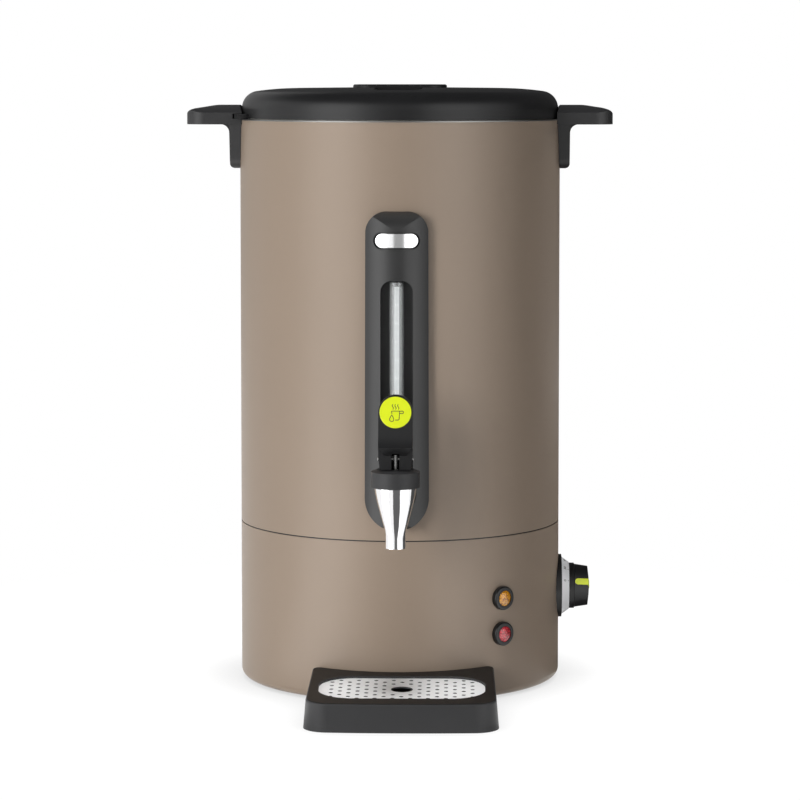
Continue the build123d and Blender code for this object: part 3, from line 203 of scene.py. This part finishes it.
mouldings = {
    "blackPlastic": {"colour": paint(34, 34, 36), "roughness": 0.42, "grain": 2600, "depth": 0.000012},
    "handlePlastic": {"colour": paint(37, 37, 38), "roughness": 0.46, "grain": 2600, "depth": 0.000014},
    "lidPlastic": {
        "colour": paint(25, 25, 26), "roughness": 0.38, "grain": 3000, "depth": 0.000007, "specular": 0.31,
    },
    "panelPlastic": {"colour": paint(46, 46, 46), "roughness": 0.38, "grain": 3200, "depth": 0.000008},
    "leverPlastic": {"colour": paint(24, 24, 25), "roughness": 0.36, "grain": 3000, "depth": 0.000006},
    "bonnetPlastic": {"colour": paint(42, 42, 43), "roughness": 0.56, "grain": 2600, "depth": 0.000010},
    "trayPlastic": {
        "colour": paint(53, 53, 54), "roughness": 0.50, "grain": 2400, "depth": 0.000012, "specular": 0.3,
        "deckShade": 0.16,
    },
    "knobPlastic": {"colour": paint(30, 30, 31), "roughness": 0.40, "grain": 2800, "depth": 0.000010},
    "lampPlastic": {"colour": paint(24, 24, 25), "roughness": 0.30, "grain": 3000, "depth": 0.000005},
    "ceramic": {"colour": paint(226, 220, 205), "roughness": 0.55, "grain": 1800, "depth": 0.000012},
    "rubber": {"colour": paint(28, 28, 28), "roughness": 0.72, "grain": 1600, "depth": 0.000025},
    "silicone": {"colour": paint(205, 204, 196), "roughness": 0.48, "grain": 1200, "depth": 0.000012},
}
wear = {
    "cloudWaves": 38, "tones": (0.92, 1.08), "cloudSwing": 0.05, "grainSwing": 0.03, "specular": 0.4,
    "deckShadeFrom": 0.85,
}


# A moulded piece: the fine grain of its mould, and cloudy wear in its gloss and its tone. A tray's faces that
# look up are painted darker than its walls: painted shade.
def moulded(name):
    look = mouldings[name]
    piece = Finish(name)
    grain = piece.noise(look["grain"], 2)
    cloud = piece.noise(wear["cloudWaves"], 4)
    tone = piece.blend(cloud, *[shade(look["colour"], amount) for amount in wear["tones"]])
    # painted shade: the tray's faces that look up get a darker copy of its colour
    if "deckShade" in look:
        tone = piece.blend(piece.upward() > wear["deckShadeFrom"], tone, shade(look["colour"], look["deckShade"]))
    gloss = piece.swing(cloud, wear["cloudSwing"]) + piece.swing(grain, wear["grainSwing"])
    return piece.surface(
        Base_Color=tone, Roughness=gloss + look["roughness"], Normal=piece.bump(grain, look["depth"]),
        Specular_IOR_Level=look.get("specular", wear["specular"]),
    )


metals = {
    "vesselSteel": {
        "colour": paint(196, 195, 192), "roughness": 0.36, "lines": (25, 25, 3200), "depth": 0.000006,
        "rim": 0.466, "rimTone": 0.36,
    },
    "grateSteel": {
        "colour": paint(249, 250, 252), "roughness": 0.46, "lines": (60, 2600, 60), "depth": 0.000004,
        "metal": 0.08, "cut": 0.10,
    },
    "stemSteel": {
        "colour": paint(196, 196, 194), "roughness": 0.24, "lines": (40, 40, 3000), "depth": 0.000004,
    },
    "zincPlate": {
        "colour": paint(176, 178, 180), "roughness": 0.42, "lines": (300, 300, 300), "depth": 0.000008,
    },
    "castAlloy": {
        "colour": paint(168, 169, 170), "roughness": 0.52, "lines": (700, 700, 700), "depth": 0.00003,
    },
    "heaterSteel": {
        "colour": paint(150, 144, 136), "roughness": 0.40, "lines": (200, 200, 900), "depth": 0.00001,
    },
}
grinding = {
    "lineTones": (0.93, 1.05), "lineSwing": 0.07, "stainWaves": 22, "stainShare": 0.25, "stainTone": 0.84,
    "stainSwing": 0.04, "uprightBelow": 0.6,
}


# Drawn or ground metal: fine lines along one way in its height and gloss, under a slow stain of tone. A
# punched plate has painted shade on the upright walls of its holes, and the vessel is painted darker near its
# top edge, as painted shade under the lid.
def ground(name):
    look = metals[name]
    metal = Finish(name)
    lines = metal.noise(1, 3, look["lines"])
    stain = metal.noise(grinding["stainWaves"], 4)
    tone = metal.blend(lines, *[shade(look["colour"], amount) for amount in grinding["lineTones"]])
    tone = metal.blend(stain * grinding["stainShare"], tone, shade(look["colour"], grinding["stainTone"]))
    # painted shade: above this height the vessel is painted darker, as shade under the lid's edge
    if "rim" in look:
        tone = metal.blend(metal.axes()[2] > look["rim"], tone, shade(look["colour"], look["rimTone"]))
    # painted shade: the upright walls of a punched plate's holes are painted dark
    if "cut" in look:
        upright = metal.maths("ABSOLUTE", metal.upward()) < grinding["uprightBelow"]
        tone = metal.blend(upright, tone, shade(look["colour"], look["cut"]))
    gloss = metal.swing(lines, grinding["lineSwing"]) + metal.swing(stain, grinding["stainSwing"])
    return metal.surface(
        Base_Color=tone, Metallic=look.get("metal", 1.0), Roughness=gloss + look["roughness"],
        Normal=metal.bump(lines, look["depth"]),
    )


chrome = {
    "tapChrome": {"colour": paint(250, 250, 251), "roughness": 0.05, "waves": 70, "depth": 0.00002},
    "badgeChrome": {"colour": paint(250, 250, 251), "roughness": 0.15, "waves": 40, "depth": 0.00001},
}
smears = {"waves": 240, "stretch": (1, 1, 0.4), "tone": 0.95, "clean": -0.02, "dull": 0.04}


# Polished chrome over metal that is a little wavy, with faint smears in its gloss
def polished(name):
    look = chrome[name]
    plate = Finish(name)
    wave = plate.noise(look["waves"], 1)
    smear = plate.noise(smears["waves"], 4, smears["stretch"])
    clean, dull = [look["roughness"] + smears[name] for name in ("clean", "dull")]
    return plate.surface(
        Base_Color=plate.blend(smear, look["colour"], shade(look["colour"], smears["tone"])), Metallic=1.0,
        Roughness=plate.between(clean, dull, smear), Normal=plate.bump(wave, look["depth"]),
    )


# glow is painted light: the dial's ring glows a little though it is no lamp
dial = {
    "colour": paint(232, 233, 235), "flake": 6000, "tones": (0.90, 1.05), "metal": 0.1,
    "roughness": (0.32, 0.46), "depth": 0.000004, "glow": 0.16,
}


# Silver paint with a fine flake, and a faint glow that is painted light, as it is no lamp
def silverPaint():
    silver = Finish("silverPaint")
    flake = silver.noise(dial["flake"], 2)
    return silver.surface(
        Base_Color=silver.blend(flake, *[shade(dial["colour"], amount) for amount in dial["tones"]]),
        Metallic=dial["metal"], Roughness=silver.between(*dial["roughness"], flake),
        Normal=silver.bump(flake, dial["depth"]), Emission_Color=dial["colour"],
        Emission_Strength=dial["glow"],
    )


# glow is painted light: the lime pieces glow a little though they are no lamp
lime = {
    "colour": paint(222, 236, 18), "cloud": 260, "tones": (0.96, 1.03), "roughness": (0.25, 0.38),
    "coat": 0.25, "coatRoughness": 0.12, "depth": 0.000006, "glow": 0.12,
}


# Lime enamel, a little cloudy, under a clear coat, with a faint glow that is painted light, as it is no lamp
def limeEnamel():
    enamel = Finish("limeEnamel")
    cloud = enamel.noise(lime["cloud"], 3)
    return enamel.surface(
        Base_Color=enamel.blend(cloud, *[shade(lime["colour"], amount) for amount in lime["tones"]]),
        Roughness=enamel.between(*lime["roughness"], cloud), Coat_Weight=lime["coat"],
        Coat_Roughness=lime["coatRoughness"], Normal=enamel.bump(cloud, lime["depth"]),
        Emission_Color=lime["colour"], Emission_Strength=lime["glow"],
    )


lamps = {
    "amberLens": {"colour": paint(226, 158, 24), "deep": paint(150, 84, 4), "glow": 0.16},
    "redLens": {"colour": paint(214, 56, 70), "deep": paint(140, 16, 28), "glow": 0.14},
}
cells = {
    "perMetre": 720.0, "flat": 0.30, "edge": 0.75, "depth": 0.00016, "roughness": 0.16, "coat": 0.6,
    "coatRoughness": 0.05,
}


# A lamp's lens: a coloured clear moulding over a pressed pattern of small cells that scatters the light
def lampLens(name):
    look = lamps[name]
    lens = Finish(name)
    sockets = {"Vector": lens.place(), "Scale": cells["perMetre"]}
    cell = lens.node("ShaderNodeTexVoronoi", {"feature": "F1"}, sockets)
    stops = [(0.0, look["colour"]), (cells["flat"], look["colour"]), (cells["edge"], look["deep"])]
    tone = lens.ramp(cell, stops)
    return lens.surface(
        Base_Color=tone, Roughness=cells["roughness"], Coat_Weight=cells["coat"],
        Coat_Roughness=cells["coatRoughness"], Normal=lens.bump(cell, cells["depth"]), Emission_Color=tone,
        Emission_Strength=look["glow"],
    )


glass = {
    "colour": paint(250, 252, 252), "roughness": (0.02, 0.05), "lines": (2600, 2600, 14), "depth": 0.000002,
    "clear": 0.85, "bend": 1.47,
}


# Boiler glass, with faint drawing lines along the tube
def gaugeGlass():
    clear = Finish("gaugeGlass")
    drawn = clear.noise(1, 2, glass["lines"])
    return clear.surface(
        Base_Color=glass["colour"], Roughness=clear.between(*glass["roughness"], drawn),
        Transmission_Weight=glass["clear"], IOR=glass["bend"], Normal=clear.bump(drawn, glass["depth"]),
    )


# glow is painted light: the strip glows a little though it is no lamp
strip = {
    "enamel": paint(226, 227, 228), "mark": paint(255, 255, 255), "pitch": 0.0148, "first": 0.2062,
    "line": 0.0013, "fine": 0.45, "grain": 2500, "roughness": (0.3, 0.4), "depth": 0.00003, "glow": 0.2,
}


# The gauge's strip: grey-white enamel with a brighter line at each step and a finer one between, and a faint
# glow that is painted light, as it is no lamp
def scaleStrip():
    enamel = Finish("scaleStrip")
    height = enamel.axes()[2]
    steps = enamel.maths("FRACT", (height - strip["first"]) / strip["pitch"])
    halves = enamel.maths("FRACT", (height - strip["first"]) / (strip["pitch"] / 2))
    line = steps < strip["line"] / strip["pitch"]
    fine = (halves < strip["line"] / strip["pitch"]) * strip["fine"]
    mark = enamel.maths("MAXIMUM", line, fine)
    grain = enamel.noise(strip["grain"], 2)
    return enamel.surface(
        Base_Color=enamel.blend(mark, strip["enamel"], strip["mark"]),
        Roughness=enamel.between(*strip["roughness"], grain), Normal=enamel.bump(mark, strip["depth"]),
        Emission_Color=strip["enamel"], Emission_Strength=strip["glow"],
    )


ink = {"colour": paint(44, 46, 34), "thin": 1.5, "grain": 3000, "roughness": (0.5, 0.62)}


# Printed ink, thin and a little uneven
def printInk():
    printed = Finish("printInk")
    uneven = printed.noise(ink["grain"], 2)
    return printed.surface(
        Base_Color=printed.blend(uneven, ink["colour"], shade(ink["colour"], ink["thin"])),
        Roughness=printed.between(*ink["roughness"], uneven),
    )


plasticOf = {
    "blackPlastic": (
        "joining_ring", "thermostat_body", "cord_bush", "lamp_nuts", "gauge_plug", "wall_spacer",
    ),
    "handlePlastic": ("left_handle", "right_handle"),
    "lidPlastic": ("lid_shell", "lid_grip"),
    "panelPlastic": ("front_panel",),
    "leverPlastic": ("lever",),
    "bonnetPlastic": ("tap_bonnet",),
    "trayPlastic": ("drip_tray",),
    "knobPlastic": ("knob", "dial_bezel"),
    "lampPlastic": ("lamp_holders",),
    "ceramic": ("terminal_block", "boil_dry_cutout"),
    "rubber": ("foot_ring", "outer_washer"),
    "silicone": ("inner_washer", "valve_seal", "gauge_seal", "lid_seal"),
}
metalOf = {
    "vesselSteel": ("inner_vessel", "lid_liner"),
    "grateSteel": ("drip_grate",),
    "stemSteel": ("valve_stem", "valve_spring", "tap_nut", "thermostat_bulb", "lever_pin"),
    "zincPlate": (
        "bottom_cover", "centre_rod", "thermostat_screws", "knob_shaft", "handle_plates", "handle_screws",
        "panel_screws", "lid_screws",
    ),
    "castAlloy": ("heat_plate",),
    "heaterSteel": ("heating_element",),
}
otherOf = {
    powderCoat: ("base_shell", "outer_shell"),
    silverPaint: ("dial_ring",),
    limeEnamel: ("knob_pointer", "lever_disc"),
    gaugeGlass: ("gauge_tube",),
    scaleStrip: ("gauge_scale",),
}


def finishNodes(material, names):
    for name in names:
        for place in nodes[name].material_slots:
            place.material = material


for name, owners in plasticOf.items():
    finishNodes(moulded(name), owners)
for name, owners in metalOf.items():
    finishNodes(ground(name), owners)
for make, owners in otherOf.items():
    finishNodes(make(), owners)
finishNodes(polished("tapChrome"), ["tap_body"])
finishNodes(polished("badgeChrome"), ["badge_plate"])
finishNodes(lampLens("amberLens"), ["amber_lens"])
finishNodes(lampLens("redLens"), ["red_lens"])
inkFinish = printInk()
print("finishes set on", len(nodes), "nodes")


# Put a mesh in the scene as a piece of its own
def addPiece(name, points, faces, material, body, slotName):
    mesh = bpy.data.meshes.new(name)
    mesh.from_pydata(points.tolist(), [], faces)
    mesh.materials.append(material)
    mesh.update()
    piece = bpy.data.objects.new(name, mesh)
    scene.collection.objects.link(piece)
    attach(piece, body)
    return piece


# A closed bar from rings of points (rings, corners, 3), which turn anticlockwise as seen from the bar's far
# end: each ring is joined to the next, and both ends are shut
def bar(rings):
    count, corners = rings.shape[:2]
    start = np.arange(count - 1)[:, None] * corners
    corner = np.arange(corners)[None]
    after = (corner + 1) % corners
    sides = np.stack([start + corner, start + after, start + corners + after, start + corners + corner], -1)
    faces = [*sides.reshape(-1, 4).tolist(), list(range(corners))[::-1]]
    faces.append(list(range((count - 1) * corners, count * corners)))
    return rings.reshape(-1, 3), faces


# Several sets of points and faces as one
def joined(parts):
    points, faces = [], []
    for more, sides in parts:
        first = sum(len(part) for part in points)
        points.append(more)
        faces += [[corner + first for corner in face] for face in sides]
    return np.vstack(points), faces


# A printed line: a path (n, 2) in a plane, widened by half the line's width to each side of its own
# direction, and given the ink's thickness
def inkLine(path, width, thick):
    path = np.asarray(path, float)
    along = np.gradient(path, axis=0)
    along /= np.linalg.norm(along, axis=1, keepdims=True)
    side = np.stack([-along[:, 1], along[:, 0]], 1) * width / 2
    low, high = np.zeros((len(path), 1)), np.full((len(path), 1), thick)
    return bar(np.stack([
        np.hstack([path + side, low]), np.hstack([path + side, high]),
        np.hstack([path - side, high]), np.hstack([path - side, low]),
    ], 1))


picture = {
    "centre": (0.0, -0.1894, 0.2444), "lean": radians(14), "rise": 0.00041, "line": 0.00055,
    "thick": 0.00005,
}


# A cup with steam over it and a drop beside it, drawn in millimetres about the middle of the lever's disc.
# The drop is a circle pulled in towards its top, and each line of steam is one wave of a sine.
def cupDrawing():
    brim = np.array([(-3.0, 1.0), (0.2, 1.0), (3.2, 1.0)])
    ear = np.array([(3.2, 1.0), (5.9, 1.0), (6.2, 0.7), (6.2, -0.6), (5.9, -0.9), (3.3, -0.9)])
    side = np.array([(3.4, 1.0), (2.9, -5.4), (2.2, -6.1), (-0.2, -6.1)])
    flank = np.array([(-3.0, 1.0), (-2.7, -1.3)])
    turn = np.linspace(0, 2 * pi, 25)
    drop = np.stack([
        -2.9 + 2.3 * np.sin(turn) * np.sin(turn / 2) ** 1.4, -4.9 + 2.6 * np.cos(turn) + 0.3,
    ], 1)
    rise = np.linspace(0, 1, 15)
    steam = [np.stack([x + 0.5 * np.sin(2 * pi * rise), 2.3 + 4.0 * rise], 1) for x in (-2.0, 0.1, 2.2)]
    return [path / 1000 for path in (brim, ear, side, flank, drop, *steam)]  # in metres


flat, faces = joined([inkLine(path, picture["line"], picture["thick"]) for path in cupDrawing()])
lean = picture["lean"]
across, upward = np.array([1, 0, 0]), np.array([0, sin(lean), cos(lean)])
outward = np.array([0, -cos(lean), sin(lean)])
points = (
    np.array(picture["centre"]) + flat[:, :1] * across + flat[:, 1:2] * upward
    + (flat[:, 2:] + picture["rise"]) * outward
)
addPiece("cupPicture", points, faces, inkFinish, "lever", "black_plastic")

dialMarks = {
    "axisZ": 0.0756, "baseX": 0.1370, "baseR": 0.0243, "topX": 0.1433, "topR": 0.0199,
    "start": radians(20), "step": radians(30), "words": ["0", *[str(heat) for heat in range(30, 120, 10)]],
    "digit": 0.0034, "digitAt": 0.56, "digitRise": 0.00003, "middle": 0.55,
    "tick": 0.0011, "tickAt": 0.06, "tickRise": 0.00001, "line": 0.00035, "thick": 0.00004,
}
run, fall = dialMarks["baseX"] - dialMarks["topX"], dialMarks["baseR"] - dialMarks["topR"]
slant = np.hypot(run, fall)


# From the dial's cone laid flat to space: along is the clockwise angle from -Y, across is 0 at the cone's
# top edge and 1 at its base, and height stands off its surface
def onDial(along, across, height):
    radius = dialMarks["topR"] + across * fall - height * run / slant
    x = dialMarks["topX"] + across * run + height * fall / slant
    return np.stack([x, -radius * np.cos(along), dialMarks["axisZ"] + radius * np.sin(along)], 1)


# Text as a thin flat mesh about its own middle: its points' three lengths, and its faces
def flatText(words, size):
    curve = bpy.data.curves.new("digits", "FONT")
    curve.body = words
    curve.size = size
    curve.resolution_u = 3
    curve.align_x, curve.align_y = "CENTER", "CENTER"
    curve.extrude = dialMarks["thick"] / 2
    holder = bpy.data.objects.new("digits", curve)
    scene.collection.objects.link(holder)
    bpy.context.view_layer.update()
    mesh = bpy.data.meshes.new_from_object(holder.evaluated_get(bpy.context.evaluated_depsgraph_get()))
    points = np.zeros(len(mesh.vertices) * 3)
    mesh.vertices.foreach_get("co", points)
    faces = [tuple(face.vertices) for face in mesh.polygons]
    bpy.data.objects.remove(holder)
    bpy.data.meshes.remove(mesh)
    return points.reshape(-1, 3).T, faces


middle = dialMarks["topR"] + dialMarks["middle"] * fall
marks = []
for index, words in enumerate(dialMarks["words"]):
    angle = dialMarks["start"] + index * dialMarks["step"]
    (x, y, rise), faces = flatText(words, dialMarks["digit"])
    digits = onDial(angle + x / middle, dialMarks["digitAt"] + y / slant, rise + dialMarks["digitRise"])
    marks.append((digits, faces))
    ends = np.array([(angle, dialMarks["tickAt"]), (angle, dialMarks["tickAt"] + dialMarks["tick"] / slant)])
    tick, faces = inkLine(ends * (middle, 1), dialMarks["line"], dialMarks["thick"])
    marks.append((onDial(tick[:, 0] / middle, tick[:, 1], tick[:, 2] + dialMarks["tickRise"]), faces))
addPiece("dialFigures", *joined(marks), inkFinish, "root", "black_plastic")
print("printed marks made")

coil = {"wire": 0.0005, "turns": 4, "steps": 32, "sides": 10, "travel": 0.00375}


# The tap's spring between two corners: a circle of the wire's radius swept along a helix, which turns about
# the stem as it climbs. The circle stands across the helix, on the way out from the stem and the way that is
# square to both.
def coilRings(low, high):
    turn = np.linspace(0, 2 * pi * coil["turns"], coil["turns"] * coil["steps"] + 1)[:, None]
    radius = (high.x - low.x) / 2 - coil["wire"]
    climb = (high.z - low.z - 2 * coil["wire"]) / (2 * pi * coil["turns"])
    out = np.hstack([np.cos(turn), np.sin(turn), 0 * turn])
    along = np.hstack([-radius * np.sin(turn), radius * np.cos(turn), climb + 0 * turn])
    along /= np.linalg.norm(along, axis=1, keepdims=True)
    middle = np.array([(low.x + high.x) / 2, (low.y + high.y) / 2, low.z + coil["wire"]])
    line = middle + radius * out + np.hstack([0 * turn, 0 * turn, climb * turn])
    wind = np.linspace(0, 2 * pi, coil["sides"], endpoint=False)[None, :, None]
    ring = np.cos(wind) * out[:, None] + np.sin(wind) * np.cross(along, out)[:, None]
    return line[:, None] + coil["wire"] * ring


springLow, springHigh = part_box("valve_spring")
points, faces = bar(coilRings(springLow, springHigh))
spring = addPiece("coilSpring", points, faces, bpy.data.materials["stemSteel"], "root", "steel")
for face in spring.data.polygons[:-2]:
    face.use_smooth = True
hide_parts("valve_spring")
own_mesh(spring)
print("spring made")

studio = {
    "floor": paint(214, 214, 214), "floorRoughness": 0.9, "floorHalf": 4.0, "near": 0.25, "far": 0.60,
    "held": 0.88, "white": 1.14, "shade": 0.05, "dark": 0.70, "world": 0.05, "aim": (0, 0, 0.25),
    "camera": (0.0496, -2.5853, 0.5152), "tilt": radians(85.915), "turn": radians(1.1), "lens": 137.95,
    "shiftY": -0.1425, "clipEnd": 60,
}


# Which rays look at a surface: the eye's, and those of metal and glass
def lookers(finish):
    path = finish.node("ShaderNodeLightPath").socket.node
    names = ("Is Camera Ray", "Is Glossy Ray", "Is Transmission Ray")
    eye, gloss, clear = [Wire(finish, path.outputs[name]) for name in names]
    return eye, finish.maths("MINIMUM", gloss + clear, 1.0)


# The floor: round the object a small share of its tone is the light that falls on it, and the rest is darker
# in the narrow places beside the object, so it keeps the shadow. Further out it is plain white, as it is
# everywhere to metal and glass.
def floorFinish():
    pale = Finish("studioFloor")
    sockets = {"Base Color": studio["floor"], "Roughness": studio["floorRoughness"]}
    lit = pale.node("ShaderNodeBsdfPrincipled", sockets=sockets)
    x, y = pale.axes()[:2]
    out = (pale.maths("SQRT", x * x + y * y) - studio["near"]) / (studio["far"] - studio["near"])
    out = pale.maths("MINIMUM", pale.maths("MAXIMUM", out, 0.0), 1.0)
    eye, mirror = lookers(pale)
    unshaded = pale.node("ShaderNodeAmbientOcclusion", {"samples": 8}, {"Distance": studio["shade"]}, 1)
    near = eye * (1 - out)
    strength = (pale.between(studio["dark"], studio["white"], unshaded) - 1) * near + 1
    white = pale.node("ShaderNodeEmission", sockets={"Color": (1, 1, 1, 1), "Strength": strength})
    share = eye + mirror - near * (1 - studio["held"])
    mixed = pale.node("ShaderNodeMixShader", sockets={0: share, 1: lit, 2: white})
    pale.node("ShaderNodeOutputMaterial", sockets={"Surface": mixed})
    return pale.owner


# Put a flat four-cornered sheet in the studio
def addSheet(name, corners, material):
    mesh = bpy.data.meshes.new(name)
    mesh.from_pydata(corners, [], [(0, 1, 2, 3)])
    mesh.materials.append(material)
    sheet = bpy.data.objects.new(name, mesh)
    scene.collection.objects.link(sheet)
    return sheet


half = studio["floorHalf"]
addSheet("floor", [(-half, -half, 0), (half, -half, 0), (half, half, 0), (-half, half, 0)], floorFinish())

scene.world = bpy.data.worlds.new("studio")
sky = Finish("studio", scene.world)
eye, mirror = lookers(sky)
glow = sky.node("ShaderNodeBackground", sockets={
    "Color": (1, 1, 1, 1), "Strength": sky.between(studio["world"], 1.0, eye + mirror),
})
sky.node("ShaderNodeOutputWorld", sockets={"Surface": glow})

# turn is each lamp's way from the object, anticlockwise from -Y as seen from above
tall = {"away": 5.0, "height": 1.2, "size": (1.7, 3.0)}
softboxes = {
    "keyLeft": {"turn": -38, "watts": 158, **tall},
    "frontLeft": {"turn": -15, "watts": 8, **tall},
    "frontRight": {"turn": 32, "watts": 6, **tall},
    "backRight": {"turn": 135, "watts": 95, **tall},
    "backLeft": {"turn": -145, "watts": 45, **tall},
    "topSoft": {"turn": 0, "watts": 50, "away": 0.15, "height": 2.8, "size": (0.6, 0.6)},
}


# The place at a turn, a distance and a height
def around(turn, away, height):
    return (away * sin(radians(turn)), -away * cos(radians(turn)), height)


for name, box in softboxes.items():
    lamp = bpy.data.lights.new(name, "AREA")
    lamp.shape = "RECTANGLE"
    lamp.size, lamp.size_y = box["size"]
    lamp.energy = box["watts"]
    place = Vector(around(box["turn"], box["away"], box["height"]))
    holder = bpy.data.objects.new(name, lamp)
    holder.location = place
    holder.rotation_euler = (place - Vector(studio["aim"])).to_track_quat("Z", "Y").to_euler()
    holder.visible_glossy = False  # metal and gloss see the cards instead
    scene.collection.objects.link(holder)


# A card that only glossy and polished pieces see
def addCard(name, corners, glow):
    finish = Finish(name)
    card = addSheet(name, corners, finish.surface(
        Base_Color=(0, 0, 0, 1), Roughness=0.9, Emission_Color=(1, 1, 1, 1), Emission_Strength=glow,
    ))
    card.visible_camera = card.visible_diffuse = card.visible_shadow = False


# turns, distances and heights of two opposite edges of each card
cards = {
    "sheenWall": {"turns": (-66, -28), "away": (3.0, 3.0), "height": (0.0, 2.6), "glow": 3.3},
    "sheenFloor": {"turns": (-66, -28), "away": (0.2, 3.0), "height": (0.002, 0.002), "glow": 3.3},
    "sheenRight": {"turns": (22, 60), "away": (3.0, 3.0), "height": (0.0, 2.6), "glow": 2.3},
    "sheenRightFloor": {"turns": (22, 60), "away": (0.2, 3.0), "height": (0.002, 0.002), "glow": 1.9},
    "darkFront": {"turns": (-9, 18), "away": (3.2, 3.2), "height": (0.0, 2.6), "glow": 0.36},
    "darkFrontFloor": {"turns": (-9, 18), "away": (0.3, 3.2), "height": (0.003, 0.003), "glow": 0.10},
    "darkRight": {"turns": (86, 135), "away": (3.0, 3.0), "height": (0.0, 2.6), "glow": 0.05},
    "darkBack": {"turns": (135, 190), "away": (3.0, 3.0), "height": (0.0, 2.6), "glow": 0.05},
    "greyLeft": {"turns": (190, 235), "away": (3.0, 3.0), "height": (0.0, 2.6), "glow": 0.5},
    "darkFloor": {"turns": (80, 180), "away": (0.15, 3.0), "height": (0.002, 0.002), "glow": 0.05},
}
for name, card in cards.items():
    (start, end), (first, second), (low, high) = card["turns"], card["away"], card["height"]
    corners = [(start, first, low), (end, first, low), (end, second, high), (start, second, high)]
    addCard(name, [around(*corner) for corner in corners], card["glow"])
ceiling = {"away": 4.4, "height": 2.7, "glow": 0.03}
corners = [around(turn, ceiling["away"], ceiling["height"]) for turn in (-45, 45, 135, 225)]
addCard("darkTop", corners, ceiling["glow"])

camera = bpy.data.objects.new("camera", bpy.data.cameras.new("camera"))
camera.data.lens = studio["lens"]
camera.data.sensor_width = 36
camera.data.shift_y = studio["shiftY"]
camera.data.clip_end = studio["clipEnd"]
camera.location = studio["camera"]
camera.rotation_euler = (studio["tilt"], 0, studio["turn"])
scene.collection.objects.link(camera)
scene.camera = camera
scene.view_settings.view_transform = "Standard"
print("studio lit")
